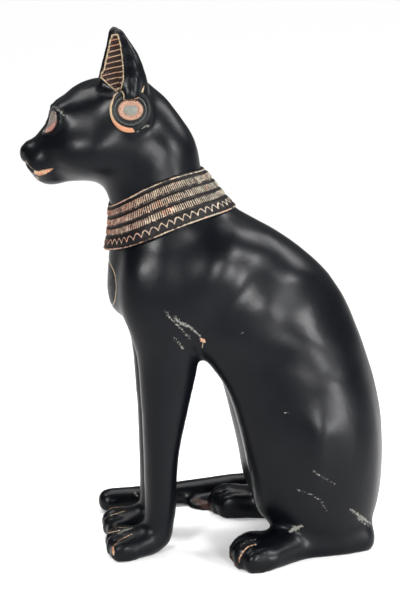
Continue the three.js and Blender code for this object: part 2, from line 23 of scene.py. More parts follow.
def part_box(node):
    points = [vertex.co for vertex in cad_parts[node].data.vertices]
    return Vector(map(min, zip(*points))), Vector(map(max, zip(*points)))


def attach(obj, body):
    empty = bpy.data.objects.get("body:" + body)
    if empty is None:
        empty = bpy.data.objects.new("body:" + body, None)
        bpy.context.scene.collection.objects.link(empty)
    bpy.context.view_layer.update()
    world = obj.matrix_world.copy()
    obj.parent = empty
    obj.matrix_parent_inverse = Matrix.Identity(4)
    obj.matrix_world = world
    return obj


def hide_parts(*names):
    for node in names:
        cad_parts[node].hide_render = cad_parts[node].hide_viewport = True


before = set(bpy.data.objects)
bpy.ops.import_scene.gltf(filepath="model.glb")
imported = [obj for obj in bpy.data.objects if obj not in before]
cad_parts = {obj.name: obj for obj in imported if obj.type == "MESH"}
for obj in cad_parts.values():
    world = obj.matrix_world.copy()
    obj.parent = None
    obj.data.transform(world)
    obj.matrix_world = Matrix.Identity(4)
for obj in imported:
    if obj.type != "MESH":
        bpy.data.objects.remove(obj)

log = logging.getLogger("cat")

MM = 0.001
NODE = "cat_figure"

# The height in metres of the cat's breast, which the lamps face.
BREAST = 0.16

# How far the tail stands out to the right of the cat's middle plane, and the rump behind its origin.
TAIL_REACH = 75.49
RUMP_REACH = 109.21

# In millimetres: farther than any gap that the carving and the paint ask for, what stands for lying outside
# an eye, an ear's panel or the medallion, and how far from a path gaps are measured.
FAR_OFF = 99.0
OUTSIDE = 9.0
PATH_REACH = 8.0

# The least length that is divided by, and a limit where there is none.
TINY = 1e-9
FAR = math.inf

# How far each round of fairing draws corners to their neighbours, and then back.
FAIRING_MOVES = (0.7, -0.72)

Array = np.ndarray
Place = tuple[float, float, float]
Path = tuple[Place, ...]
Outline = tuple[tuple[float, float], ...]
Colour = tuple[float, float, float, float]


class Paint(Enum):
    """The paints that are rubbed or worn over the black one, the pale one also for painted highlights, named
    as the attributes that place them.
    """

    GILT = "gilt"
    COPPER = "copper"
    PALE = "pale"
    RUST = "rust"


@dataclass(frozen=True)
class CatSpace:
    """The cat's own measure: x from its middle plane to its left, -y ahead, z up from the ground."""

    origin: Array

    @classmethod
    def of(cls, node: str) -> "CatSpace":
        """Finds the cat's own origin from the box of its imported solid."""
        low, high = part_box(node)
        return cls(np.array([low.x + TAIL_REACH * MM, high.y - RUMP_REACH * MM, 0.0]))

    def millimetres(self, points: Array) -> Array:
        """Turns places in the frame into the cat's millimetres."""
        return (points - self.origin) / MM

    def metres(self, points: Array) -> Array:
        """Turns the cat's millimetres into places in the frame."""
        return points * MM + self.origin


@dataclass(frozen=True)
class PhotoView:
    """The photograph's viewpoint, in the cat's millimetres, and its picture, in pixels."""

    place: Place = (713.0, -100.2, 315.0)
    aim: Place = (0.0, 0.0, 145.8)
    focal: float = 1291.0
    width: int = 400
    height: int = 602

    def axes(self) -> tuple[Array, Array, Array]:
        """Gives the picture's rightward and upward directions and the way that it looks.

        Returns:
            The three directions, each of length 1.
        """
        ahead = np.subtract(self.aim, self.place)
        ahead /= np.linalg.norm(ahead)
        right = np.cross(ahead, (0.0, 0.0, 1.0))
        right /= np.linalg.norm(right)
        return right, np.cross(right, ahead), ahead

    def ray(self, x: float, y: float) -> Array:
        """Gives the direction in which a pixel is seen.

        Args:
            x: Pixels from the picture's left.
            y: Pixels from its top.

        Returns:
            The direction, of length 1.
        """
        right, up, ahead = self.axes()
        across = (x - self.width / 2) / self.focal
        rise = (self.height / 2 - y) / self.focal
        way = ahead + across * right + rise * up
        return way / np.linalg.norm(way)

    def on_skin(self, skin: BVHTree, path: Path, spacing: float = 1.5) -> Array:
        """Lays a path of pixels on the skin.

        Args:
            skin: The surface, in the cat's millimetres.
            path: Pixels, each with the width there in pixels.
            spacing: Pixels from one laid point to the next.

        Returns:
            Rows of x, y, z and half width in millimetres.
        """
        marks = np.array(path, float)
        laid = []
        for start, end in zip(marks[:-1], marks[1:]):
            count = max(2, math.ceil(math.dist(start[:2], end[:2]) / spacing) + 1)
            for share in np.linspace(0.0, 1.0, count):
                x, y, wide = start + (end - start) * share
                hit, _, _, far = skin.ray_cast(Vector(self.place), Vector(self.ray(x, y)))
                if hit is not None:
                    laid.append((*hit, 0.5 * wide * far / self.focal))
        return np.array(laid)

    def set_camera(self, space: CatSpace) -> None:
        """Sets the camera that sees the cat as the photograph does.

        Args:
            space: The cat's own measure.
        """
        lens = bpy.data.cameras.new("photo_view")
        lens.sensor_width = 36.0
        lens.lens = lens.sensor_width * self.focal / self.height
        lens.clip_end = 500.0
        camera = put_in_scene("photo_view", lens)
        right, up, ahead = (Vector(axis) for axis in self.axes())
        turn = Matrix((right, up, -ahead)).transposed().to_4x4()
        camera.matrix_world = Matrix.Translation(Vector(space.metres(np.array(self.place)))) @ turn
        bpy.context.scene.camera = camera


def put_in_scene(name: str, data: bpy.types.ID) -> Object:
    """Makes an object of a mesh, a light or a camera and puts it in the scene.

    Args:
        name: The object's name.
        data: What it shows.

    Returns:
        The object.
    """
    made = bpy.data.objects.new(name, data)
    bpy.context.collection.objects.link(made)
    return made


class Signal:
    """A number that varies over a surface; arithmetic on it adds Math nodes."""

    def __init__(self, finish: "Finish", socket: bpy.types.NodeSocket) -> None:
        """Wraps a socket of a finish's node tree."""
        self.finish = finish
        self.socket = socket

    def _maths(self, operation: str, *values: "Signal | float") -> "Signal":
        """Adds a Math node on the given values."""
        inputs = dict(enumerate(values))
        return self.finish.add("ShaderNodeMath", {"operation": operation}, inputs)

    def __add__(self, other: "Signal | float") -> "Signal":
        """Adds."""
        return self._maths("ADD", self, other)

    def __sub__(self, other: "Signal | float") -> "Signal":
        """Subtracts."""
        return self._maths("SUBTRACT", self, other)

    def __mul__(self, other: "Signal | float") -> "Signal":
        """Multiplies."""
        return self._maths("MULTIPLY", self, other)

    def size(self) -> "Signal":
        """Gives the value without its sign."""
        return self._maths("ABSOLUTE", self)

    def fraction(self) -> "Signal":
        """Gives what is left above the whole number below."""
        return self._maths("FRACT", self)

    def rising(self, low: float, high: float) -> "Signal":
        """Gives a smooth step from 0 at low to 1 at high; low may be the greater."""
        inputs = {"Value": self, "From Min": low, "From Max": high}
        return self.finish.add("ShaderNodeMapRange", {"interpolation_type": "SMOOTHSTEP"}, inputs)


Value = Signal | float | tuple[float, ...]
Inputs = dict[str | int, Value]


class Finish:
    """A material under construction."""

    def __init__(self, name: str) -> None:
        """Starts an empty material with its shader and output.

        Args:
            name: The material's name.
        """
        self.material = bpy.data.materials.new(name)
        self.material.use_nodes = True
        self.tree = self.material.node_tree
        self.tree.nodes.clear()
        self.shader = self.tree.nodes.new("ShaderNodeBsdfPrincipled")
        output = self.tree.nodes.new("ShaderNodeOutputMaterial")
        self.tree.links.new(self.shader.outputs["BSDF"], output.inputs["Surface"])

    def feed(self, node: bpy.types.Node, inputs: Inputs) -> None:
        """Sets or links a node's inputs.

        Args:
            node: The node.
            inputs: Its values or links by socket.
        """
        for key, value in inputs.items():
            if isinstance(value, Signal):
                self.tree.links.new(value.socket, node.inputs[key])
            else:
                node.inputs[key].default_value = value

    def add(self, kind: str, settings: dict, inputs: Inputs, output: str | int = 0) -> Signal:
        """Adds a node.

        Args:
            kind: The node's type.
            settings: Its own settings, which are set first.
            inputs: The values or links of its sockets.
            output: The output that is wanted.

        Returns:
            The wanted output.
        """
        node = self.tree.nodes.new(kind)
        for name, value in settings.items():
            setattr(node, name, value)
        self.feed(node, inputs)
        return Signal(self, node.outputs[output])

    def noise(self, scale: float, detail: float = 3.0, rough: float = 0.5) -> Signal:
        """Gives even noise about one half.

        Args:
            scale: Waves in a metre.
            detail: Finer layers.
            rough: How strong the finer layers are.

        Returns:
            The noise.
        """
        place = self.add("ShaderNodeTexCoord", {}, {}, "Object")
        inputs = {"Vector": place, "Scale": scale, "Detail": detail, "Roughness": rough}
        return self.add("ShaderNodeTexNoise", {}, inputs, "Fac")

    def attribute(self, name: str) -> Signal:
        """Gives a number that the mesh holds at its corners."""
        return self.add("ShaderNodeAttribute", {"attribute_name": name}, {}, "Fac")

    def mix(self, share: Signal, under: Value, over: Value) -> Signal:
        """Mixes two colours, wholly the second where share is 1."""
        settings = {"data_type": "RGBA"}
        return self.add("ShaderNodeMix", settings, {0: share, 6: under, 7: over}, 2)

    def layered(self, under: Value, layers: Sequence[tuple[Signal, Value]]) -> Value:
        """Lays colours one over the other, each by its share.

        Args:
            under: The lowest colour.
            layers: The shares and colours of the others, from below.

        Returns:
            The colour that shows.
        """
        for share, over in layers:
            under = self.mix(share, under, over)
        return under

    def bump(self, height: Signal, depth: float) -> Signal:
        """Gives the normal of a surface that rises by depth metres where height is 1."""
        return self.add("ShaderNodeBump", {}, {"Height": height, "Distance": depth, "Strength": 1.0})

    def shaded(self, tint: Signal, roughness: Signal, shine: float, normal: Signal) -> Material:
        """Feeds the shader.

        Args:
            tint: The colour.
            roughness: How blurred the reflections are.
            shine: How strong they are; 0.5 is plain plastic.
            normal: The fine relief.

        Returns:
            The finished material.
        """
        inputs = {"Base Color": tint, "Roughness": roughness, "Specular IOR Level": shine, "Normal": normal}
        self.feed(self.shader, inputs)
        return self.material


def colour(red: int, green: int, blue: int) -> Colour:
    """Turns a colour as a screen shows it, 0 to 255, into the shader's linear one.

    Args:
        red: Its red.
        green: Its green.
        blue: Its blue.

    Returns:
        The colour, opaque.
    """
    shares = [value / 255 for value in (red, green, blue)]
    linear = [s / 12.92 if s <= 0.04045 else ((s + 0.055) / 1.055) ** 2.4 for s in shares]
    return (*linear, 1.0)


@dataclass(frozen=True)
class BlackPaint:
    """Satin black paint on the cast body, with gilt and copper rubbed on, pale resin where it is worn, and
    painted highlights in the same pale on the neck and the tail's tip.
    """

    black: Colour = colour(3, 4, 7)
    worn_black: Colour = colour(8, 9, 13)
    gilt: Colour = colour(150, 132, 108)
    copper: Colour = colour(150, 98, 74)
    pale: Colour = colour(108, 108, 102)
    rust: Colour = colour(52, 36, 31)
    panel: Colour = colour(34, 22, 20)
    rose: Colour = colour(142, 98, 90)
    cream: Colour = colour(158, 142, 130)
    taupe: Colour = colour(96, 88, 82)
    roughness: float = 0.325
    shine: float = 0.12
    unevenness: float = 0.0004
    rib_line: float = 0.14

    def material(self) -> Material:
        """Builds the node material.

        Returns:
            The material, which reads the body's attributes.
        """
        finish = Finish("satin_black_paint")
        mottle = finish.noise(38, 4)
        grain = finish.noise(900, 3, 0.6)
        smudge = finish.noise(11, 3)
        black = finish.mix(mottle.rising(0.42, 0.75) * 0.5, self.black, self.worn_black)

        def painted(name: Paint, soft: float, broken: float) -> Signal:
            """Gives where a rubbed or worn mark or a painted highlight lies: within its marks, broken up by
            the grain.
            """
            return (finish.attribute(name.value) + (grain - 0.5) * broken).rising(-soft, soft)

        rubbed = finish.mix(grain.rising(0.44, 0.62), self.copper, self.gilt)
        warm = finish.mix(mottle.rising(0.4, 0.6), self.gilt, self.copper)
        panel = finish.attribute("ear_panel")
        inside = panel.rising(0.1, 0.5)
        rib = (finish.attribute("ear_rib").fraction() - 0.5).size() + (grain - 0.5) * 0.16
        edge = (panel.size() + (grain - 0.5) * 0.3).rising(0.46, 0.22)
        along = finish.attribute("eye_along")
        streaks = (grain - 0.5) * 4.0
        iris = finish.layered(self.taupe, (
            ((streaks - finish.attribute("eye_across") - along * 0.4).rising(0.6, 3.0), self.rose),
            ((along + streaks * 1.5).rising(-4.0, -7.0), self.cream),
            (grain.rising(0.48, 0.68) * 0.6, self.black),
        ))
        medal = (finish.attribute("medallion").size() + (grain - 0.5) * 0.3).rising(0.42, 0.18)
        tint = finish.layered(black, (
            (painted(Paint.RUST, 0.9, 2.6), self.rust),
            # The pale layer is worn resin, and on the neck below the earring and at the tail's tip it is a
            # painted highlight.
            (painted(Paint.PALE, 0.5, 5.2) * 0.75, self.pale),
            (painted(Paint.COPPER, 0.25, 1.8) * 0.9, rubbed),
            (painted(Paint.GILT, 0.2, 0.9) * 0.9, self.gilt),
            (inside, self.panel),
            (rib.rising(self.rib_line, self.rib_line - 0.1) * inside * 0.8, warm),
            (edge * grain.rising(0.32, 0.5) * 0.9, self.gilt),
            ((finish.attribute("eye") + (grain - 0.5) * 0.7).rising(0.1, 0.7), iris),
            (medal * mottle.rising(0.3, 0.5), self.gilt),
        ))
        roughness = (mottle - 0.5) * 0.12 + (smudge - 0.5) * 0.12 + self.roughness
        height = finish.noise(70, 2) * 0.2 + finish.noise(280, 3) * 0.1 + grain * 0.07
        return finish.shaded(tint, roughness, self.shine, finish.bump(height, self.unevenness))


@dataclass(frozen=True)
class CollarPaint:
    """The collar's dry-brushed paint: copper at the throat, paler to the nape, dark in every groove."""

    dark: Colour = colour(14, 11, 12)
    copper: Colour = colour(144, 98, 75)
    rose: Colour = colour(136, 108, 95)
    beige: Colour = colour(128, 114, 98)
    grey: Colour = colour(114, 107, 95)
    pale: Colour = colour(160, 148, 132)
    roughness: float = 0.48
    shine: float = 0.1
    unevenness: float = 0.00014

    def material(self) -> Material:
        """Builds the node material, which reads how proud the carving stands and how far round it lies.

        Returns:
            The material.
        """
        finish = Finish("rubbed_gilt_collar")
        grain = finish.noise(800, 3, 0.6)
        fleck = finish.noise(320, 2)
        patch = finish.noise(90, 2)
        around = finish.attribute("around") + (patch - 0.5) * 0.3 + (fleck - 0.5) * 0.5
        gilt = finish.layered(self.copper, (
            (around.rising(-0.08, 0.16), self.rose),
            (around.rising(0.24, 0.46), self.beige),
            (around.rising(0.5, 0.8), self.grey),
            (patch.rising(0.54, 0.66) * fleck.rising(0.42, 0.55) * 0.8, self.copper),
            (patch.rising(0.46, 0.36) * fleck.rising(0.6, 0.45) * 0.7, self.grey),
            (fleck.rising(0.58, 0.7) * 0.6, self.pale),
        ))
        proud = finish.attribute("proud") + (grain - 0.5) * 1.0 + (fleck - 0.5) * 0.9
        tint = finish.mix(proud.rising(0.42, 0.84), self.dark, gilt)
        roughness = (grain - 0.5) * 0.3 + self.roughness
        return finish.shaded(tint, roughness, self.shine, finish.bump(grain, self.unevenness))


@dataclass(frozen=True)
class EarringPaint:
    """The earring's paint: black rings, a copper ring, a grey-green stone, a gold crescent on the rim and a
    painted highlight along the groove.
    """

    black: Colour = colour(9, 10, 12)
    copper: Colour = colour(128, 99, 84)
    gold: Colour = colour(144, 124, 100)
    orange: Colour = colour(142, 100, 76)
    stone: Colour = colour(88, 93, 88)
    roughness: float = 0.4
    shine: float = 0.14
    unevenness: float = 0.0001

    def material(self, rings: "EarringRings") -> Material:
        """Builds the node material.

        Args:
            rings: The earring's radii.

        Returns:
            The material, which reads the disc's own places.
        """
        finish = Finish("painted_earring")
        grain = finish.noise(800, 3, 0.6)
        wobble = (grain - 0.5) * 0.9
        radius = finish.attribute("radius") + wobble
        up = finish.attribute("up")
        ring = radius.rising(rings.copper + 0.2, rings.copper - 0.3) * grain.rising(0.3, 0.42)
        stone = radius.rising(rings.stone, rings.stone - 0.5) * (up + wobble).rising(3.1, 2.5)
        # A painted highlight: a faint grey-green ring along the groove outside the copper ring stands for the
        # lamps' reflection there.
        groove = (radius - rings.copper - 1.6).size().rising(0.3, 0.1)
        crescent = (finish.attribute("crescent") + wobble * 0.5).rising(-0.1, 0.3)
        tint = finish.layered(self.black, (
            (ring, self.copper),
            (stone, finish.mix(grain.rising(0.35, 0.9) * 0.5, self.stone, self.copper)),
            (groove * 0.35, self.stone),
            (crescent, finish.mix(up.rising(-2.0, -7.0), self.gold, self.orange)),
        ))
        roughness = (grain - 0.5) * 0.2 + self.roughness
        return finish.shaded(tint, roughness, self.shine, finish.bump(grain, self.unevenness))


@dataclass(frozen=True)
class StudioPaper:
    """The studio's plain pale floor."""

    tone: Colour = colour(240, 240, 240)
    speck: Colour = colour(225, 225, 225)
    roughness: float = 0.9

    def material(self) -> Material:
        """Builds the node material.

        Returns:
            The material.
        """
        finish = Finish("studio_paper")
        tint = finish.mix(finish.noise(300, 2) * 0.04, self.tone, self.speck)
        finish.feed(finish.shader, {"Base Color": tint, "Roughness": self.roughness})
        return finish.material


def bell(gap: Array, reach: float | Array) -> Array:
    """Gives 1 where a gap is 0, falling softly to nothing past its reach."""
    return np.exp(-((gap / reach) ** 2))


def ramp(value: Array, start: float, reach: float) -> Array:
    """Gives 0 up to a start and 1 from its reach onwards, rising evenly between."""
    return np.clip((value - start) / reach, 0, 1)


def corners_of(bm: BMesh) -> Array:
    """Gives the places of a mesh's corners."""
    return np.array([vert.co for vert in bm.verts], float)


def move_corners(bm: BMesh, points: Array) -> None:
    """Moves a mesh's corners to the given places."""
    for vert, point in zip(bm.verts, points):
        vert.co = point


def normals_of(bm: BMesh) -> Array:
    """Gives the outward directions at a mesh's corners."""
    bm.normal_update()
    return np.array([vert.normal for vert in bm.verts], float)


def joined_into_one_skin(bm: BMesh, cell: float) -> BMesh:
    """Runs one even skin over all the closed forms of a mesh.

    Args:
        bm: The forms, which may overlap. It is freed.
        cell: The size of the even skin's squares.

    Returns:
        The even skin.
    """
    mesh = bpy.data.meshes.new("rough")
    bm.to_mesh(mesh)
    bm.free()
    rough = put_in_scene("rough", mesh)
    remesh = rough.modifiers.new("skin", "REMESH")
    remesh.mode = "VOXEL"
    remesh.voxel_size = cell
    even = bmesh.new()
    even.from_object(rough, bpy.context.evaluated_depsgraph_get())
    bpy.data.objects.remove(rough)
    bpy.data.meshes.remove(mesh)
    return even


def evened(bm: BMesh, rounds: int, strength: Array) -> None:
    """Fairs a mesh without shrinking it: each round draws corners to their neighbours, then back.

    Args:
        bm: The mesh.
        rounds: How often.
        strength: How much of each move every corner makes.
    """
    points = corners_of(bm)
    bm.verts.index_update()
    edges = np.array([[vert.index for vert in edge.verts] for edge in bm.edges])
    start = np.concatenate([edges[:, 0], edges[:, 1]])
    end = np.concatenate([edges[:, 1], edges[:, 0]])
    count = np.bincount(start, minlength=len(points))[:, None]
    for _ in range(rounds):
        for move in FAIRING_MOVES:
            sums = [np.bincount(start, points[end, k], len(points)) for k in range(3)]
            points = points + move * strength[:, None] * (np.stack(sums, 1) / count - points)
    move_corners(bm, points)


def distance_to_path(points: Array, path: Array) -> tuple[Array, Array]:
    """Measures points from a path.

    Args:
        points: The points.
        path: Rows of x, y, z and half width.

    Returns:
        How far inside the path's edge each point lies, and the distance from the path. Points well away from
        the path are only called far off.
    """
    inside = np.full(len(points), -FAR_OFF)
    nearest = np.full(len(points), FAR_OFF)
    low, high = path[:, :3].min(0) - PATH_REACH, path[:, :3].max(0) + PATH_REACH
    near = np.flatnonzero(((points > low) & (points < high)).all(1))
    if len(near) == 0:
        return inside, nearest
    spots = points[near]
    for start, end in zip(path[:-1], path[1:]):
        step = end[:3] - start[:3]
        length = max(float(step @ step), TINY)
        share = np.clip((spots - start[:3]) @ step / length, 0, 1)
        gap = np.linalg.norm(spots - start[:3] - share[:, None] * step, axis=1)
        wide = start[3] + (end[3] - start[3]) * share
        inside[near] = np.maximum(inside[near], wide - gap)
        nearest[near] = np.minimum(nearest[near], gap)
    return inside, nearest


@dataclass(frozen=True)
class Zone:
    """A stretch of both sides of the cat, between limits of x from the middle plane, y and z."""

    x: tuple[float, float] = (-FAR, FAR)
    y: tuple[float, float] = (-FAR, FAR)
    z: tuple[float, float] = (-FAR, FAR)

    def holds(self, points: Array) -> Array:
        """Tells which points lie in it.

        Args:
            points: Places on either side.

        Returns:
            True for each point inside.
        """
        low, high = zip(self.x, self.y, self.z)
        spots = np.stack([np.abs(points[:, 0]), points[:, 1], points[:, 2]], 1)
        return ((spots > low) & (spots < high)).all(1)


def in_any(zones: Sequence[Zone], points: Array) -> Array:
    """Tells which points lie in one of the zones."""
    return np.any([zone.holds(points) for zone in zones], axis=0)


@dataclass(frozen=True)
class Groove:
    """A soft cut along a path on both sides of the cat.

    Attributes:
        path: Places with x from the middle plane.
        width: Its half width.
        depth: How deep it is; less than 0 for a ridge.
    """

    path: Path
    width: float
    depth: float

    def lift(self, mirrored: Array) -> Array:
        """Gives how far the skin moves outwards."""
        _, gap = distance_to_path(mirrored, np.array([(*place, self.width) for place in self.path]))
        return -self.depth * bell(gap, self.width)


@dataclass(frozen=True)
class Swelling:
    """A soft rise or hollow on both sides of the cat."""

    centre: Place
    radii: Place
    height: float

    def lift(self, mirrored: Array) -> Array:
        """Gives how far the skin moves outwards."""
        gap = ((mirrored - self.centre) / self.radii) ** 2
        return self.height * np.exp(-gap.sum(1))


@dataclass(frozen=True)
class Eye:
    """A slanted almond eye under a raised lid, on both sides of the face.

    Attributes:
        centre: Its middle.
        facing: The way that it looks.
        lengthwise: From its inner to its outer corner.
        half_length: Half of that length.
        upper: How far its outline bows up from the line between the corners.
        lower: How far it bows down.
        inner_bend: How bluntly it rounds off at the inner corner; 1 is a straight edge.
        outer_bend: The same at the outer corner.
        depth: How far before and behind its middle the skin is still the eye's.
    """

    centre: Place = (11.6, -82.6, 249.5)
    facing: Place = (0.52, -0.82, 0.12)
    lengthwise: Place = (0.49, 0.41, 0.77)
    half_length: float = 7.8
    upper: float = 6.2
    lower: float = 4.3
    inner_bend: float = 1.7
    outer_bend: float = 3.4
    from_middle: float = 3.4
    depth: float = 9.0

    def places(self, mirrored: Array) -> tuple[Array, Array, Array]:
        """Gives places along the eye, across it towards the brow, and inside its outline.

        Args:
            mirrored: Places, those of the right side mirrored to the left.

        Returns:
            How far they lie along it, across it, and inside its outline.
        """
        facing = np.array(self.facing) / np.linalg.norm(self.facing)
        across = np.cross(facing, self.lengthwise)
        across /= np.linalg.norm(across)
        along = np.cross(across, facing)
        gap = mirrored - self.centre
        u, v, out = gap @ along, gap @ across, gap @ facing
        bow = np.where(v > 0, self.upper, self.lower)
        bend = np.where(u > 0, self.outer_bend, self.inner_bend)
        bow = bow * np.clip(1 - np.abs(u / self.half_length) ** bend, -1.0, 1)
        inside = (bow - np.abs(v)) * 0.85
        here = (np.abs(out) < self.depth) & (mirrored[:, 0] > self.from_middle)
        return u, v, np.where(here, inside, -OUTSIDE)

    def lift(self, mirrored: Array) -> Array:
        """Gives how far the skin moves outwards: a rounded ball in a cut outline under a lid.

        Args:
            mirrored: Places, those of the right side mirrored to the left.

        Returns:
            The move at each place.
        """
        u, _, inside = self.places(mirrored)
        fade = np.clip(1.5 - np.abs(u) / self.half_length, 0, 1)
        ball = 0.5 * ramp(inside, 0, self.upper) ** 0.7
        outline = -0.7 * bell(inside, 0.7)
        lid = 0.5 * bell(inside + 1.6, 0.9)
        return (ball + outline + lid) * fade


@dataclass(frozen=True)
class EarPanel:
    """The sunk panel in the front of each ear, crossed by slanting ribs.

    Attributes:
        outline: Its border as y and z, from the tip down the front and back up.
        pitch: From one rib to the next.
        slant: How much the ribs rise to the back.
        corner: The panel's front corner as y and z, through which a rib runs.
        facing: The way that the ear's hollow faces.
        least_outward: The least share of its skin's direction that points away from the middle plane.
        least_ahead: The least share of it that points the hollow's way.
    """

    outline: Outline = (
        (-46.8, 296.2), (-49.4, 295.8), (-50.5, 293.0), (-51.6, 287.5), (-52.7, 282.6), (-53.7, 278.0),
        (-55.8, 274.2), (-53.0, 271.4), (-50.6, 269.2), (-48.0, 266.6), (-45.6, 268.8), (-44.5, 273.6),
        (-44.4, 279.4), (-44.8, 285.1), (-45.5, 291.0),
    )
    pitch: float = 2.86
    slant: float = 0.3
    corner: tuple[float, float] = (-55.0, 274.4)
    facing: Place = (0.75, -0.66, 0.0)
    from_middle: float = 13.0
    least_outward: float = 0.12
    least_ahead: float = 0.15
    depth: float = 0.8
    border: float = 0.8
    rib_height: float = 0.45

    def places(self, mirrored: Array, normals: Array) -> tuple[Array, Array]:
        """Gives how far inside the panel's border the points lie, and where they are among the ribs.

        Args:
            mirrored: Places, those of the right side mirrored to the left.
            normals: The skin's outward directions there.

        Returns:
            The depth inside the border, and the count of ribs up to each place.
        """
        spots = mirrored[:, 1:]
        ring = np.array(self.outline)
        gap = np.full(len(spots), FAR_OFF)
        within = np.zeros(len(spots), bool)
        for start, end in zip(ring, np.roll(ring, -1, axis=0)):
            step = end - start
            share = np.clip((spots - start) @ step / (step @ step), 0, 1)
            gap = np.minimum(gap, np.linalg.norm(spots - start - share[:, None] * step, axis=1))
            spans = (start[1] > spots[:, 1]) != (end[1] > spots[:, 1])
            cross = start[0] + (spots[:, 1] - start[1]) * step[0] / (step[1] or TINY)
            within ^= spans & (spots[:, 0] < cross)
        inside = np.where(within, gap, -gap)
        outer = (mirrored[:, 0] > self.from_middle) & (normals[:, 0] > self.least_outward)
        hollow = outer & (normals @ np.array(self.facing) > self.least_ahead)
        ahead, height = self.corner
        rib = (mirrored[:, 2] - self.slant * (mirrored[:, 1] - ahead) - height) / self.pitch + 0.5
        return np.where(hollow, inside, -OUTSIDE), rib

    def lift(self, mirrored: Array, normals: Array) -> Array:
        """Gives how far the skin moves outwards: a sunk panel with ribs and a raised border.

        Args:
            mirrored: Places, those of the right side mirrored to the left.
            normals: The skin's outward directions there.

        Returns:
            The move at each place.
        """
        inside, rib = self.places(mirrored, normals)
        sunk = ramp(inside, 0, self.border)
        ridge = bell(rib % 1.0 - 0.5, 0.2)
        edge = 0.4 * bell(inside, self.border)
        fade = ramp(normals[:, 0], self.least_outward, 0.3)
        return fade * (edge - sunk * (self.depth - self.rib_height * ridge))


@dataclass(frozen=True)
class Medallion:
    """A thin oval scratched and gilded on the breast, with a few strokes inside.

    Attributes:
        centre: The height of its middle.
        behind: The y that its skin lies ahead of.
        marks: The strokes' ends as x and z.
        breast: The y of the breast at the middle plane, where the strokes lie.
        roundness: How the breast falls back from there, a share of x squared.
    """

    centre: float = 158.2
    half_width: float = 13.6
    half_height: float = 12.8
    behind: float = -38.0
    marks: tuple[Outline, ...] = (
        ((-5.5, 165), (-2, 162)), ((2.2, 166), (5.8, 162.5)), ((0, 160), (0, 153.5)),
        ((8, 163), (9, 160)), ((-6, 156), (-3, 151)), ((3.4, 158), (6.2, 154)),
        ((-4.5, 149), (4, 148.6)), ((8.2, 157), (8.8, 153)),
    )
    breast: float = -53.0
    roundness: float = 0.012
    stroke: float = 0.36

    def outline(self, points: Array, normals: Array) -> Array:
        """Gives how far outside the oval's line the points lie, less than 0 inside it.

        Args:
            points: Places on the skin.
            normals: The skin's outward directions there.

        Returns:
            The distances, large away from the breast.
        """
        across = points[:, 0] / self.half_width
        rise = (points[:, 2] - self.centre) / self.half_height
        ring = (np.hypot(across, rise) - 1) * (self.half_width + self.half_height) / 2
        return np.where((points[:, 1] < self.behind) & (normals[:, 1] < 0), ring, OUTSIDE)

    def lift(self, points: Array, normals: Array) -> Array:
        """Gives how far the skin moves outwards along the shallow line."""
        return -0.25 * bell(self.outline(points, normals), 0.6)

    def strokes(self) -> list[Array]:
        """Gives the strokes inside as paths on the round of the breast.

        Returns:
            Each stroke as rows of x, y, z and half width.
        """
        laid = []
        for mark in self.marks:
            laid.append([(x, self.breast + self.roundness * x * x, z, self.stroke) for x, z in mark])
        return [np.array(path) for path in laid]


@dataclass(frozen=True)
class Toes:
    """A row of toes: the cuts between neighbours run over the top and down the front.

    Attributes:
        reach: How far a toe's skin lies ahead of its middle, and above it.
        arc: Degrees above the level where a cut passes, each with its share of the reach there.
    """

    centres: Path
    reach: tuple[float, float]
    depth: float = 1.1
    width: float = 1.0
    arc: Outline = ((100, 0.82), (75, 0.95), (50, 1), (25, 1), (0, 1), (-25, 0.97))

    def grooves(self) -> list[Groove]:
        """Gives the cuts between the toes.

        Returns:
            One groove for each pair of neighbours.
        """
        ahead, top = self.reach
        found = []
        for inner, outer in zip(self.centres[:-1], self.centres[1:]):
            x, y, z = ((a + b) / 2 for a, b in zip(inner, outer))
            path = []
            for degrees, share in self.arc:
                turn = math.radians(degrees)
                path.append((x, y - ahead * share * math.cos(turn), z + top * share * math.sin(turn)))
            found.append(Groove(tuple(path), self.width, self.depth))
        return found


# Where the skin is carved finely: the face, the ears, the fore paws and the hind toes.
CARVED = (
    Zone(y=(-FAR, -70), z=(217, FAR)),
    Zone(x=(10, FAR), z=(262, FAR)),
    Zone(x=(-FAR, 32), y=(-FAR, -40), z=(-FAR, 17)),
    Zone(x=(26, FAR), y=(6, 33), z=(-FAR, 20)),
)

# The whole ears with their roots, the lobes over the earrings, and the ears above their roots.
EARS = Zone(x=(9, FAR), z=(262, FAR))
LOBES = Zone(x=(24, FAR), y=(-48, FAR), z=(262, 288))
BLADES = Zone(x=(10, FAR), z=(265, FAR))

# Between the paws and the head, where the copper and gilt are wear and not trim that both sides have.
TRUNK = Zone(z=(30, 215))

# Carving that is alike on both sides, with x from the middle plane.
MOUTH = Groove(
    (
        (0, -97.4, 226.8), (4.4, -97.0, 227.0), (7.7, -95.9, 226.6), (9.2, -93.4, 224.0),
        (10.5, -90.1, 222.7), (12.1, -86.9, 223.4), (12.8, -82.6, 224.4),
    ),
    0.8, 0.9,
)
LIP = Groove(((0, -99.6, 229.8), (0, -98.4, 228.4), (0, -97.4, 226.8)), 0.7, 0.8)
NOSTRIL = Groove(((1.8, -99.8, 231.6), (3.6, -98.8, 231.0), (5.0, -97.4, 232.2)), 0.7, 0.8)
NOSE_EDGE = Groove(((0, -96.8, 237.2), (3.4, -96.6, 236.0), (5.6, -96.2, 233.2)), 0.9, 0.3)
PAW_TOES = Toes(((4.4, -47.6, 5.6), (11.4, -49.4, 6.2), (18.6, -49.4, 6.2), (25.3, -47.6, 5.6)), (9.1, 8))
HIND_TOES = Toes(((29.4, 25, 6), (36, 22, 6.6), (43, 23, 6.4), (48.8, 27.6, 5.4)), (10.6, 9.2), 0.85)

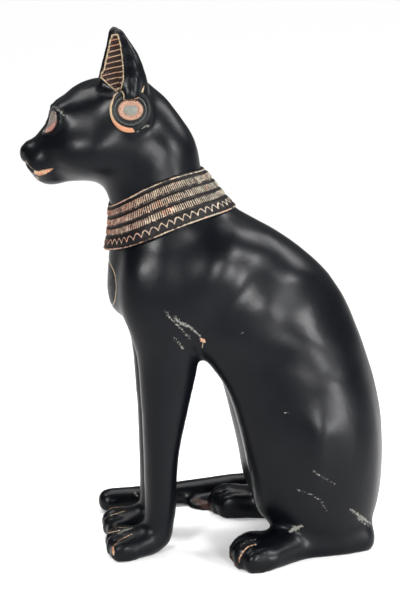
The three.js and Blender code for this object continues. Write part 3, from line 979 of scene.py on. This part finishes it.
# The soft muscles that catch the light, alike on both sides.
MUSCLES = {
    "hollow before the shoulder": Swelling((35, -35, 176), (30, 9, 13), -1.4),
    "shoulder": Swelling((38, -1, 167), (30, 13, 18), 3.2),
    "behind the shoulder": Swelling((36, 29, 150), (30, 14, 12), 2.0),
    "hollow over the shoulder": Swelling((30, 14, 192), (30, 12, 10), -0.7),
    "ribs": Swelling((29, 48, 164), (30, 16, 10), 1.8),
    "flank": Swelling((35, 54, 131), (30, 18, 13), 1.1),
    "hollow before the haunch": Swelling((40, 43, 121), (30, 12, 9), -0.8),
    "upper haunch": Swelling((42, 70, 106), (30, 12, 5.5), 0.5),
    "haunch": Swelling((45, 65, 80), (30, 14, 9), 0.7),
    "lower haunch": Swelling((44, 60, 69), (30, 7, 18), 2.0),
    "neck under the ear": Swelling((22, -20, 238), (20, 7, 9), 0.4),
    "hollow of the temple": Swelling((24, -64, 247), (16, 10, 7), -0.9),
    "muzzle": Swelling((11, -91, 237), (7, 7.4, 8), 1.6),
}

# Worn places, rubbed gilt and painted highlights in the pale paint (on the neck below the earring and at the
# tail's tip) on the seen side, as pixels of the photograph with the width there; a width of 0 or less leaves
# only faint specks.
SEEN_MARKS: dict[Paint, tuple[Path, ...]] = {
    Paint.COPPER: (
        (
            (35.6, 173.6, 4.4), (39, 173.8, 6.2), (42.6, 172.6, 6.4), (46, 171.5, 5),
            (49.6, 170.3, 3), (52.8, 169.4, 0.8),
        ),
        ((112.6, 547.5, 2.4), (113, 551.5, 3.2), (113.4, 554.5, 1.6)),
        ((112.2, 549, 1), (114.8, 545, 1), (118, 541.2, 1.1), (124.5, 537.4, 1), (131.5, 534.2, 0.8)),
        ((256, 544.2, 0.7), (248.6, 546.2, 1), (243.4, 551, 1.1), (240.2, 556.5, 1.1), (239, 562, 0.9)),
        ((202.2, 340, 4.6), (203.6, 340.8, 4.6)),
        ((123.6, 99.6, 0.8), (128, 100.4, 1), (133, 99.6, 0.8), (138.6, 97.6, 1.2)),
    ),
    Paint.GILT: (
        ((26.4, 161, 1.2), (28.2, 164.4, 1.5), (31.2, 168.4, 1.8), (34.8, 172.2, 2.4)),
        ((36.4, 176.4, 1.2), (37.8, 178.2, 1.8), (39.2, 179.6, 1.2)),
        ((119.4, 90.2, 1.2), (122.4, 92, 1.3), (124, 95.6, 1.4), (123.4, 99.4, 1.2)),
        ((118, 92.4, 1), (114.6, 95.2, 1.8), (112.6, 99, 1.4)),
        ((144, 86, 1), (142.9, 90, 2.8), (141.2, 94.4, 2.6), (141.6, 97, 1)),
        ((203, 343.4, 1), (202.2, 347.6, 0.7)),
        ((108.4, 533, 0.8), (114, 531.4, 0.9), (120, 530, 0.7)),
        ((111, 515.2, 0.9), (118, 512.9, 1.1), (125, 511, 0.7)),
    ),
    Paint.PALE: (
        ((53, 106.6, 0.8), (57.2, 108.2, 1), (60.4, 111.2, 1.7), (63.4, 115.6, 0.8)),
        ((47.6, 127.4, 1), (45.6, 130, 1.8), (43.4, 132.6, 0.8)),
        ((147.6, 106.4, 1.2), (150.6, 111.6, 1.8), (149.2, 117, 1)),
        # A painted highlight: this pale grey streak on the neck below the earring stands for a lamp's
        # reflection.
        ((137.4, 130.6, 1), (143, 127.2, 2.4), (149.6, 125.4, 1.2)),
        ((173.5, 316.5, 0.8), (176.4, 319.6, 1.8), (180, 322.4, 2), (184, 325, 0.8)),
        ((184, 323.4, 0.6), (189, 326.4, 1.8), (193.2, 329.6, 1.2), (196.4, 332.4, 0.5), (201.4, 338, 0.5)),
        ((164.5, 309, 0), (168, 315, 0.3), (174, 322, 0.1), (182, 330, 0), (190, 339, 0.2)),
        ((174.2, 337.9, 0), (178.6, 343, 0.5), (182.5, 348.7, 0)),
        ((119, 533.4, 2), (124.6, 530.2, 4.6), (131, 528.2, 3)),
        ((290, 531.4, 1.6), (294.4, 528.4, 4), (301.6, 525.8, 2)),
        ((350.6, 509.4, 0.6), (356, 513.4, 1.8), (363, 518.8, 2.8), (370.6, 523.6, 1)),
        ((357, 517.6, 0.2), (364, 522.4, 0.8), (369.4, 526.4, 0.2)),
        ((236, 538, 0), (244, 533.4, 0.4), (252, 531.6, 0.4), (262, 533.6, 0)),
        ((240, 545, -0.2), (248, 541, 0.1), (256, 539.6, -0.2)),
        ((312, 469.4, -0.5), (322, 477, -0.3), (336.4, 484.4, -0.6)),
        ((297, 490, -0.5), (308, 492.6, -0.3), (320, 500, -0.4), (326.4, 510.4, -0.6)),
        ((241.6, 331.6, 0.5), (242.4, 332.4, 0.5)),
        ((284.6, 412.6, -0.2), (287.6, 413.4, -0.2)),
        # A painted highlight: this pale stroke at the tail's tip stands for a lamp's reflection.
        ((135, 493, 1.2), (137, 495.6, 1)),
    ),
    Paint.RUST: (
        ((196, 500, 5), (204, 504, 9), (211, 509, 7)),
        ((230.6, 555, 4), (232.4, 561, 5), (236.6, 565.6, 3)),
    ),
}


@dataclass(frozen=True)
class EarringRings:
    """The earring's radii from its middle outwards, and its place on the head.

    Attributes:
        facing: The way that the left one faces.
        sink: How deep its foot lies in the head.
        flatness: How high the inner rings are for their breadth.
    """

    centre: Place = (27.2, -40.9, 257.3)
    facing: Place = (1.0, -0.1, 0.04)
    stone: float = 4.0
    copper: float = 6.7
    rim: float = 11.0
    sink: float = 6.0
    flatness: float = 0.82

    def crescent(self, forward: Array, up: Array) -> tuple[Array, Array]:
        """Gives how broad the rim is, and how far inside the gilded crescent a place lies.

        Args:
            forward: Places on the disc towards the nose.
            up: Places on the disc upwards.

        Returns:
            The rim's extra breadth, from 0 to 1, and the places' depth inside the crescent.
        """
        turn = np.degrees(np.arctan2(forward, -up))
        broad = bell(turn - 15, 45)
        end = np.clip((turn - 112) / 60, 0, 2) + np.clip((-6 - turn) / 8, 0, 2)
        inner = 9.8 - 0.5 * broad + 2.4 * end
        return broad, np.hypot(forward, up) - inner


@dataclass(frozen=True)
class CollarLine:
    """The tilted axis that the collar lies round, and places measured on it.

    Attributes:
        tilt: Degrees that its upper end leans ahead, so that the collar lies lower at the throat.
        side_lift: How much higher the collar lies over the shoulders.
        low: Where its lower rim lies along the axis.
        high: Where its upper rim lies.
        clear: A distance from the axis that is clear of the neck.
    """

    centre: Place = (0.0, -20.7, 200.0)
    tilt: float = 17.0
    side_lift: float = 5.0
    low: float = -11.9
    high: float = 12.4
    clear: float = 70.0

    def turn(self) -> Array:
        """Gives the turn from the upright to the collar's axis."""
        return np.array(Matrix.Rotation(math.radians(self.tilt), 3, "X"))

    def measured(self, points: Array) -> tuple[Array, Array, Array]:
        """Gives the angle round from the throat, the distance from the axis and the height along it.

        Args:
            points: Places in the cat's millimetres.

        Returns:
            The angles, the distances and the heights.
        """
        x, y, z = ((points - self.centre) @ self.turn()).T
        angle = np.arctan2(x, -y)
        return angle, np.hypot(x, y), z - self.side_lift * np.sin(angle) ** 2

    def placed(self, angle: Array, radius: Array, height: Array) -> Array:
        """Gives the places at the given angles, distances and heights.

        Args:
            angle: Angles round from the throat.
            radius: Distances from the axis.
            height: Heights along it.

        Returns:
            The places in the cat's millimetres.
        """
        lifted = height + self.side_lift * np.sin(angle) ** 2
        upright = np.stack([radius * np.sin(angle), -radius * np.cos(angle), lifted + 0 * angle], -1)
        return upright @ self.turn().T + self.centre

    def radius_of(self, skin: BVHTree, heights: Sequence[float], count: int = 144) -> Array:
        """Measures the skin's distance from the axis.

        Args:
            skin: The surface.
            heights: Where along the axis.
            count: How many directions round it.

        Returns:
            A row of distances for each height.
        """
        spread = np.array([1, 4, 6, 4, 1]) / 16
        rows = []
        for height in heights:
            row = []
            for angle in np.linspace(0, 2 * math.pi, count, endpoint=False):
                ends = self.placed(np.full(2, angle), np.array([self.clear, 0.0]), np.full(2, height))
                start, end = (Vector(place) for place in ends)
                row.append(self.clear - skin.ray_cast(start, (end - start).normalized())[3])
            rows.append(np.convolve([*row[-2:], *row, *row[:2]], spread, "valid"))
        return np.array(rows)


def at_angles(row: Array, angle: Array) -> Array:
    """Reads a row of values, even round a circle, at the given angles.

    Args:
        row: The values.
        angle: Where they are wanted.

    Returns:
        The values there.
    """
    place = (angle % (2 * math.pi)) / (2 * math.pi) * len(row)
    whole = np.floor(place).astype(int)
    share = place - whole
    return row[whole % len(row)] * (1 - share) + row[(whole + 1) % len(row)] * share


def turned_form(outline: Sequence[tuple[float, float]], steps: int, closed: bool) -> BMesh:
    """Turns an outline round the upright axis.

    Args:
        outline: Its points as radius and height.
        steps: How many steps the turn has.
        closed: Whether the last point joins the first.

    Returns:
        The turned form.
    """
    bm = bmesh.new()
    chain = [bm.verts.new((radius, 0.0, height)) for radius, height in outline]
    ends = [*chain[1:], chain[0]] if closed else chain[1:]
    rungs = [bm.edges.new(pair) for pair in zip(chain, ends)]
    parts = [*chain, *rungs]
    bmesh.ops.spin(bm, geom=parts, axis=(0, 0, 1), angle=2 * math.pi, steps=steps, use_merge=True)
    return bm


def packed_form(space: CatSpace) -> BMesh:
    """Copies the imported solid, its loose triangles merged, in the cat's millimetres.

    Args:
        space: The cat's own measure.

    Returns:
        The copy.
    """
    bm = bmesh.new()
    bm.from_mesh(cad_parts[NODE].data)
    bmesh.ops.remove_doubles(bm, verts=bm.verts, dist=1e-7)
    move_corners(bm, space.millimetres(corners_of(bm)))
    bm.normal_update()
    return bm


def laid_in_frame(
    name: str, bm: BMesh, space: CatSpace, material: Material,
    values: dict[str, Array],
) -> Object:
    """Makes a finished piece of a mesh.

    Args:
        name: The piece's name.
        bm: Its mesh in the cat's millimetres. It is freed.
        space: The cat's own measure.
        material: Its finish.
        values: Numbers that the finish reads at the corners.

    Returns:
        The piece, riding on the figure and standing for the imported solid.
    """
    move_corners(bm, space.metres(corners_of(bm)))
    for face in bm.faces:
        face.smooth = True
    mesh = bpy.data.meshes.new(name)
    bm.to_mesh(mesh)
    bm.free()
    mesh.materials.append(material)
    for key, numbers in values.items():
        mesh.attributes.new(key, "FLOAT", "POINT").data.foreach_set("value", numbers.astype(np.float32))
    piece = put_in_scene(name, mesh)
    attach(piece, "root")
    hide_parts(NODE)
    return piece


@dataclass
class Body:
    """The cast body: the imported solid's form, evened and carved finer, without its collar and earrings.

    Attributes:
        cell: The size of the skin's squares before the carving.
        ear_ahead: How far the left ear's front edge stands ahead of the right one's.
        bare_edges: Heights on the collar's axis just below and above the plain collar.
        bare_blend: Half the height over which the neck passes from the lower edge's form to the upper's.
        bare_band: Half the height of the neck that is drawn in under the collar.
        bare_reach: The distance from the collar's axis within which the neck is drawn in.
        bare_disc: The radius of the head that is drawn in under each earring.
        disc_height: How far out from an earring's middle the skin is still drawn in.
        lobes: The middles and radii of the balls that make each ear's lobe.
        fairing: How strongly the skin is faired where it is carved, on the ears and on their lobes.
        ear_fairing: How strongly the ears' smooth parts are faired once more, and all the rest.
        rounds: How often the skin is faired.
        ear_rounds: How often the ears are faired once more.
        carved_cell: How fine the skin is where it is carved, a share of the cell.
        panel_cell: The same in the ear panels and on the eyes.
        mark_cells: How fine it is under worn marks, first and last.
        mark_margin: How far round a mark it is that fine.
    """

    space: CatSpace
    view: PhotoView
    collar: CollarLine
    earring: EarringRings
    eye: Eye
    panel: EarPanel
    medallion: Medallion
    finish: BlackPaint
    cell: float = 1.7
    ear_ahead: float = 1.7
    bare_edges: tuple[float, float] = (-12.6, 13.0)
    bare_blend: float = 11.0
    bare_band: float = 11.6
    bare_depth: float = 0.8
    bare_reach: float = 45.0
    bare_disc: float = 11.2
    disc_depth: float = 1.6
    disc_height: float = 5.0
    lobes: tuple[Path, ...] = (
        ((22.4, -41.2, 277.0), (4.6, 6.2, 10.0)),
        ((25.4, -40.8, 270.6), (4.6, 6.0, 8.4)),
        ((27.3, -40.8, 265.8), (4.0, 5.2, 5.2)),
    )
    fairing: tuple[float, float, float] = (0.2, 0.45, 0.5)
    ear_fairing: tuple[float, float] = (0.9, 0.04)
    rounds: int = 90
    ear_rounds: int = 40
    carved_cell: float = 0.7
    panel_cell: float = 0.35
    mark_cells: tuple[float, float] = (1.0, 0.55)
    mark_margin: float = 1.3

    def bared(self, bm: BMesh) -> None:
        """Draws the solid's plain collar and earrings in, where the fine ones will lie.

        Args:
            bm: The solid's copy.
        """
        below, above = self.collar.radius_of(BVHTree.FromBMesh(bm), self.bare_edges)
        points = corners_of(bm)
        angle, radius, height = self.collar.measured(points)
        share = ramp(height, -self.bare_blend, 2 * self.bare_blend)
        neck = at_angles(below, angle) * (1 - share) + at_angles(above, angle) * share - self.bare_depth
        banded = (np.abs(height) < self.bare_band) & (radius < self.bare_reach) & (radius > neck)
        points[banded] = self.collar.placed(angle, neck, height)[banded]
        for side in (1, -1):
            centre = np.array(self.earring.centre) * (side, 1, 1)
            out = np.array(self.earring.facing) * (side, 1, 1)
            out = out / np.linalg.norm(out)
            proud = (points - centre) @ out
            flat = np.linalg.norm(points - centre - proud[:, None] * out, axis=1)
            disc = (proud > -self.disc_depth) & (proud < self.disc_height) & (flat < self.bare_disc)
            points[disc] -= (proud[disc, None] + self.disc_depth) * out
        move_corners(bm, points)

    def with_lobes(self, bm: BMesh) -> None:
        """Adds the tongue of each ear that narrows down and laps over its earring.

        Args:
            bm: The solid's copy.
        """
        for place, size in self.lobes:
            for side in (1, -1):
                matrix = Matrix.Translation((side * place[0], *place[1:])) @ Matrix.Diagonal((*size, 1.0))
                bmesh.ops.create_icosphere(bm, subdivisions=4, radius=1.0, matrix=matrix)

    def finer(self, bm: BMesh, cell: float, near: Array) -> None:
        """Splits the edges longer than a cell between corners that are near carving.

        Args:
            bm: The body's skin.
            cell: The length up to which an edge stays.
            near: Which corners are near.
        """
        bm.verts.index_update()
        inner = [edge for edge in bm.edges if all(near[vert.index] for vert in edge.verts)]
        long = [edge for edge in inner if edge.calc_length() > cell]
        bmesh.ops.subdivide_edges(bm, edges=long, cuts=1, use_grid_fill=True)

    def on_one_side(self, bm: BMesh) -> tuple[Array, Array]:
        """Gives places and outward directions with those of the right side mirrored to the left.

        Args:
            bm: The body's skin.

        Returns:
            The places and the directions.
        """
        points = corners_of(bm)
        right = points[:, 0] < 0
        mirror = np.where(right[:, None], (-1, 1, 1), (1, 1, 1))
        points[:, 1] -= np.where(right, self.ahead(points), 0.0)
        return points * mirror, normals_of(bm) * mirror

    def fine_zone(self, bm: BMesh) -> Array:
        """Tells which corners lie in the ear panels or on the eyes."""
        mirrored, facing = self.on_one_side(bm)
        return (self.panel.places(mirrored, facing)[0] > -1.5) | (self.eye.places(mirrored)[2] > -2.5)

    def ahead(self, points: Array) -> Array:
        """Gives how far the front edge and the tip of the left ear lie ahead of the right one's.

        Args:
            points: Places on either ear.

        Returns:
            The lead at each place.
        """
        x, y, z = points.T
        edge = ramp(-y, 46.4, 2.6) * ramp(z, 266, 8)
        tip = 0.7 * ramp(z, 287, 9)
        return np.where(np.abs(x) > 11.5, self.ear_ahead * np.maximum(edge, tip), 0.0)

    def ear_smooth(self, bm: BMesh) -> Array:
        """Tells which corners lie on the smooth parts of the ears, outside their panels."""
        mirrored, facing = self.on_one_side(bm)
        return BLADES.holds(mirrored) & (self.panel.places(mirrored, facing)[0] < 0.4)

    def faired(self, bm: BMesh) -> None:
        """Fairs the skin, less where it will be carved, and then the ears once more.

        Args:
            bm: The body's skin.
        """
        points = corners_of(bm)
        carved, ears, lobes = self.fairing
        strength = np.where(in_any(CARVED, points), carved, 1.0)
        strength[EARS.holds(points)] = ears
        strength[LOBES.holds(points)] = lobes
        evened(bm, self.rounds, strength)
        self.finer(bm, self.cell * self.carved_cell, in_any(CARVED, corners_of(bm)))
        evened(bm, self.ear_rounds, np.where(self.ear_smooth(bm), *self.ear_fairing))

    def bring_ear_forward(self, bm: BMesh) -> None:
        """Draws the front edge of the left ear ahead, as the hand-finished casting has it.

        Args:
            bm: The body's skin.
        """
        points = corners_of(bm)
        points[:, 1] -= np.where(points[:, 0] > 0, self.ahead(points), 0.0)
        move_corners(bm, points)

    def carve(self, bm: BMesh) -> None:
        """Moves the skin for the finer carving.

        Args:
            bm: The body's skin.
        """
        points, normals = corners_of(bm), normals_of(bm)
        mirrored, facing = self.on_one_side(bm)
        toes = [*PAW_TOES.grooves(), *HIND_TOES.grooves()]
        cuts = [MOUTH, LIP, NOSTRIL, NOSE_EDGE, *toes, *MUSCLES.values()]
        lift = sum(cut.lift(mirrored) for cut in cuts)
        lift = lift + self.eye.lift(mirrored) + self.panel.lift(mirrored, facing)
        lift = lift + self.medallion.lift(points, normals)
        points = points + normals * lift[:, None]
        points[:, 2] = np.maximum(points[:, 2], 0.0)
        move_corners(bm, points)

    def worn(self, bm: BMesh) -> dict[Paint, list[Array]]:
        """Lays the photograph's marks on the skin, worn places, rubbed trim and painted highlights, and the
        trim of head and paws on the right side too.

        Args:
            bm: The body's skin.

        Returns:
            Each paint's marks as rows of x, y, z and half width.
        """
        skin = BVHTree.FromBMesh(bm)
        laid = {}
        for paint, paths in SEEN_MARKS.items():
            laid[paint] = [self.view.on_skin(skin, path) for path in paths]
        for paint in (Paint.COPPER, Paint.GILT):
            trim = [path for path in laid[paint] if not TRUNK.holds(path[:1, :3])]
            laid[paint] += [path * (-1, 1, 1, 1) for path in trim]
        laid[Paint.PALE] += self.medallion.strokes()
        return laid

    def painted(self, bm: BMesh, marks: dict[Paint, list[Array]]) -> dict[str, Array]:
        """Gives the numbers that place the paints.

        Args:
            bm: The skin before it is carved.
            marks: The worn marks on it.

        Returns:
            The numbers at its corners, by the names that the finish reads.
        """
        points = corners_of(bm)
        mirrored, facing = self.on_one_side(bm)
        values = {}
        for paint, paths in marks.items():
            values[paint.value] = np.max([distance_to_path(points, path)[0] for path in paths], axis=0)
        values["eye_along"], values["eye_across"], values["eye"] = self.eye.places(mirrored)
        values["ear_panel"], values["ear_rib"] = self.panel.places(mirrored, facing)
        values["medallion"] = self.medallion.outline(points, normals_of(bm))
        return values

    def build(self) -> Object:
        """Builds the body.

        Returns:
            The finished piece.
        """
        bm = packed_form(self.space)
        self.bared(bm)
        self.with_lobes(bm)
        bm = joined_into_one_skin(bm, self.cell)
        self.faired(bm)
        self.bring_ear_forward(bm)
        # The marks hold worn places and rubbed trim, and painted highlights in the pale paint.
        marks = self.worn(bm)
        self.finer(bm, self.cell * self.panel_cell, self.fine_zone(bm))
        for cell in self.mark_cells:
            points = corners_of(bm)
            inside = [distance_to_path(points, path)[0] for paths in marks.values() for path in paths]
            self.finer(bm, cell, np.max(inside, axis=0) > -self.mark_margin)
        values = self.painted(bm, marks)
        self.carve(bm)
        return laid_in_frame("cat_body", bm, self.space, self.finish.material(), values)


@dataclass
class Collar:
    """The broad collar: ribbed bands and a zigzag band between thin raised lines.

    Attributes:
        bands: The foot and the top of each ribbed band, and how its ribs are shifted.
        zigzag: The foot and the top of the zigzag band.
        levels: The heights at which the plain collar is measured.
        ribs: How many ribs stand round a band.
        groove: How deep the ground between the bands lies.
        zigzag_foot: The height of the zigzag's lowest turns.
        zigzag_rise: How high it climbs from there.
        sink: How deep its back lies in the neck.
        back: The radius of its back before it is fitted to the neck.
        face: The same for its carved face.
    """

    space: CatSpace
    line: CollarLine
    finish: CollarPaint
    bands: Path = ((6.0, 10.0, 0.0), (0.7, 4.8, 1.9), (-4.2, -0.4, 3.7))
    zigzag: tuple[float, float] = (-10.2, -5.2)
    beads: tuple[float, float] = (11.7, -11.3)
    levels: tuple[float, ...] = (-8.5, -3.4, 1.8, 8.1)
    ribs: int = 164
    teeth: int = 45
    steps: int = 1022
    rows: int = 60
    groove: float = 0.35
    zigzag_foot: float = -8.9
    zigzag_rise: float = 2.5
    sink: float = 3.2
    back: float = 20.0
    face: float = 30.0

    def relief(self, angle: Array, height: Array) -> tuple[Array, Array]:
        """Gives the carving.

        Args:
            angle: Places round the collar.
            height: Places along its axis.

        Returns:
            How far each place stands proud of the bands' ground, and how much gilt it holds.
        """
        def within(low: float, high: float, soft: float = 0.25) -> Array:
            """Gives 1 between two heights, with soft edges."""
            return ramp(height, low, soft) * ramp(-height, -high, soft)

        wander = 0.35 * np.sin(7 * angle + 1) + 0.3 * np.sin(17 * angle) + 0.2 * np.sin(31 * angle + 2)
        proud = np.full(angle.shape, -self.groove)
        gilt = np.zeros(angle.shape)
        for low, high, phase in self.bands:
            band = within(low, high, 0.5)
            rib = 0.5 + 0.5 * np.cos(self.ribs * angle + wander * 2 + phase)
            edge = bell(height - low + 0.1, 0.22)
            proud += band * (0.5 + 0.45 * rib**0.7) + 0.35 * edge
            gilt = np.maximum.reduce([gilt, band * (0.3 + 0.65 * rib), 0.7 * edge])
        low, high = self.zigzag
        saw = np.abs(((self.teeth * angle / (2 * math.pi) + 0.1 * wander) % 1) * 2 - 1)
        aim = self.zigzag_foot + self.zigzag_rise * np.sin(saw * math.pi / 2)
        stroke = bell((height - aim) * 0.58, 0.42 - 0.12 * saw) * within(low + 0.4, high)
        proud += 0.25 * within(low, high) + 0.35 * stroke
        gilt = np.maximum(gilt, stroke)
        for centre in self.beads:
            bead = bell(height - centre, 0.42)
            proud += 0.55 * bead
            gilt = np.maximum(gilt, bead * (1 + 0.25 * np.sin(3 * angle + centre)))
        return proud, gilt

    def shown_height(self, turned: Array, height: Array) -> Array:
        """Gives the heights round the neck: narrower at the throat, broader and higher behind.

        Args:
            turned: Degrees from the throat.
            height: Heights as the collar is turned.

        Returns:
            The heights to show.
        """
        side = ramp(turned, 0, 70)
        back = ramp(turned, 50, 90)
        return height * (0.94 + 0.13 * side) + 2.1 * back**2 * (3 - 2 * back)

    def ground(self, angle: Array, height: Array) -> Array:
        """Gives how far the plain collar lies from the axis, straight from one level to the next.

        Args:
            angle: Places round the collar.
            height: Places along its axis.

        Returns:
            The distances.
        """
        solid = packed_form(self.space)
        rings = self.line.radius_of(BVHTree.FromBMesh(solid), self.levels)
        solid.free()
        knots = [at_angles(ring, angle) for ring in rings]
        steps = zip(knots[:-1], knots[1:], self.levels[:-1], self.levels[1:])
        slopes = [(above - below) / (top - low) for below, above, low, top in steps]
        ground = knots[0] + (height - self.levels[0]) * slopes[0]
        for knot, slope, level in zip(knots[1:-1], slopes[1:], self.levels[1:-1]):
            ground = np.where(height > level, knot + (height - level) * slope, ground)
        return ground

    def build(self) -> Object:
        """Builds the collar.

        Returns:
            The finished piece.
        """
        heights = np.linspace(self.line.low, self.line.high, self.rows)
        face = [(self.face, height) for height in heights]
        outline = [(self.back, heights[0]), *face, (self.back, heights[-1])]
        bm = turned_form(outline, self.steps, closed=True)
        x, y, height = corners_of(bm).T
        angle = np.arctan2(y, x)
        back = np.hypot(x, y) < (self.back + self.face) / 2
        proud, gilt = self.relief(angle, height)
        throat = np.clip(np.cos(angle), 0, 1) ** 2
        radius = self.ground(angle, height) - 0.8 * throat + np.where(back, -self.sink, proud)
        turned = np.abs((angle + math.pi) % (2 * math.pi) - math.pi)
        move_corners(bm, self.line.placed(angle, radius, self.shown_height(np.degrees(turned), height)))
        bmesh.ops.recalc_face_normals(bm, faces=bm.faces)
        values = {"proud": np.where(back, 0, gilt), "around": turned / math.pi}
        return laid_in_frame("collar", bm, self.space, self.finish.material(), values)


@dataclass
class Earring:
    """A round earring: a turned disc of rings about a smooth stone."""

    space: CatSpace
    rings: EarringRings
    material: Material
    steps: int = 120

    def profile(self) -> list[tuple[float, float]]:
        """Gives the outline to turn, from the sunk foot over the rings to the middle.

        Returns:
            Its points as radius and height.
        """
        rim, copper, stone = self.rings.rim, self.rings.copper, self.rings.stone
        return [
            (rim - 0.4, -self.rings.sink), (rim, -0.6), (rim, 0.7), (rim - 0.25, 1.3), (rim - 0.8, 1.6),
            (rim - 1.6, 1.65), (rim - 2.1, 1.35), (rim - 2.3, 1.1), (rim - 2.6, 1.3), (copper + 0.7, 1.35),
            (copper + 0.3, 1.1), (copper, 1.5), (copper - 0.3, 2.2), (copper - 0.8, 2.55),
            (stone + 0.9, 2.55), (stone + 0.4, 2.3), (stone + 0.1, 1.8), (stone - 0.2, 1.9),
            (stone - 0.8, 2.2), (stone / 2, 2.5), (stone / 4, 2.58), (0.0, 2.6),
        ]

    def build(self, side: int) -> Object:
        """Builds one earring.

        Args:
            side: 1 for the cat's left, -1 for its right.

        Returns:
            The finished piece.
        """
        bm = turned_form(self.profile(), self.steps, closed=False)
        bmesh.ops.remove_doubles(bm, verts=bm.verts, dist=1e-4)
        foot = [edge for edge in bm.edges if edge.is_boundary]
        bmesh.ops.holes_fill(bm, edges=foot, sides=0)
        centre = Vector(self.rings.centre)
        centre.x *= side
        out = Vector(self.rings.facing).normalized()
        out.x *= side
        turn = Vector((0, 0, 1)).rotation_difference(out).to_matrix().to_4x4()
        bmesh.ops.transform(bm, matrix=Matrix.Translation(centre) @ turn, verts=bm.verts)
        bmesh.ops.recalc_face_normals(bm, faces=bm.faces)
        points = corners_of(bm)
        flat = points - np.array(centre)
        flat -= (flat @ np.array(out))[:, None] * np.array(out)
        radius = np.linalg.norm(flat, axis=1)
        broad, inside = self.rings.crescent(-flat[:, 1], flat[:, 2])
        outer = ramp(radius, self.rings.rim - 1.6, 1.6)
        points += flat / np.maximum(radius, 0.1)[:, None] * (1.1 * broad * outer)[:, None]
        inner = ramp(-radius, 2.0 - self.rings.rim, 1.6)
        points[:, 2] -= flat[:, 2] * (1 - self.rings.flatness) * inner
        move_corners(bm, points)
        values = {"crescent": inside, "up": flat[:, 2], "radius": radius}
        name = "earring_left" if side > 0 else "earring_right"
        return laid_in_frame(name, bm, self.space, self.material, values)


@dataclass(frozen=True)
class SoftBox:
    """A square soft lamp, by the way in which it stands from the cat.

    Attributes:
        name: Its name.
        turn: Degrees round the cat from its left side towards its tail.
        rise: Degrees above the cat's breast.
        far: Metres away.
        size: Its side in metres.
        power: Its power in watts.
        grid: Degrees that its grid lets the light spread.
    """

    name: str
    turn: float
    rise: float
    far: float
    size: float
    power: float
    grid: float = 50.0

    def hang(self) -> None:
        """Hangs the lamp so that it faces the cat's breast."""
        light = bpy.data.lights.new(self.name, "AREA")
        light.size = self.size
        light.energy = self.power
        light.spread = math.radians(self.grid)
        lamp = put_in_scene(self.name, light)
        turn, rise = math.radians(self.turn), math.radians(self.rise)
        way = Vector((math.cos(rise) * math.cos(turn), math.cos(rise) * math.sin(turn), math.sin(rise)))
        lamp.location = way * self.far + Vector((0, 0, BREAST))
        lamp.rotation_euler = way.to_track_quat("Z", "Y").to_euler()
        lamp.visible_camera = False


@dataclass
class Studio:
    """A plain pale floor, a broad leaning light from above, even light all round, and soft boxes."""

    space: CatSpace
    view: PhotoView
    paper: StudioPaper
    reach: float = 200.0
    overhead: float = 3.4
    lean: Place = (-12, -16, 0)
    breadth: float = 50.0
    surround: float = 0.16
    boxes: tuple[SoftBox, ...] = (
        SoftBox("front_box", -35, 19, 1.1, 0.2, 1.02),
        SoftBox("brow_box", -106, 58, 1.1, 0.5, 0.9),
        SoftBox("side_box", 14, 10, 1.1, 0.2, 0.84),
        SoftBox("flank_box", 45, -2, 1.1, 0.2, 0.8),
        SoftBox("rear_box", 56, 22, 1.1, 0.2, 0.82),
        SoftBox("back_box", 107, 38, 1.1, 0.26, 0.36),
    )

    def lay_floor(self) -> None:
        """Lays the floor."""
        bm = bmesh.new()
        bmesh.ops.create_circle(bm, cap_ends=True, cap_tris=True, segments=64, radius=self.reach)
        mesh = bpy.data.meshes.new("floor")
        bm.to_mesh(mesh)
        bm.free()
        mesh.materials.append(self.paper.material())
        put_in_scene("floor", mesh)

    def set_sky(self) -> None:
        """Sets the even light from above and all round."""
        light = bpy.data.lights.new("overhead", "SUN")
        light.energy = self.overhead
        light.angle = math.radians(self.breadth)
        lamp = put_in_scene("overhead", light)
        lamp.rotation_euler = [math.radians(turn) for turn in self.lean]
        world = bpy.data.worlds.new("studio")
        world.use_nodes = True
        background = world.node_tree.nodes["Background"]
        background.inputs["Color"].default_value = (1, 1, 1, 1)
        background.inputs["Strength"].default_value = self.surround
        bpy.context.scene.world = world

    def build(self) -> None:
        """Sets the floor, the lights and the camera."""
        self.lay_floor()
        self.set_sky()
        for box in self.boxes:
            box.hang()
        bpy.context.scene.view_settings.view_transform = "Standard"
        self.view.set_camera(self.space)


def main() -> None:
    """Builds every piece and the studio round them."""
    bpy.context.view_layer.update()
    space = CatSpace.of(NODE)
    view = PhotoView()
    line = CollarLine()
    rings = EarringRings()
    pieces = [
        Body(space, view, line, rings, Eye(), EarPanel(), Medallion(), BlackPaint()).build(),
        Collar(space, line, CollarPaint()).build(),
    ]
    earring = Earring(space, rings, EarringPaint().material(rings))
    pieces += [earring.build(side) for side in (1, -1)]
    for piece in pieces:
        piece.data.calc_loop_triangles()
        log.info("%s: %d triangles", piece.name, len(piece.data.loop_triangles))
    Studio(space, view, StudioPaper()).build()


if __name__ == "__main__":
    logging.basicConfig(level=logging.INFO, format="%(name)s %(message)s")
    main()
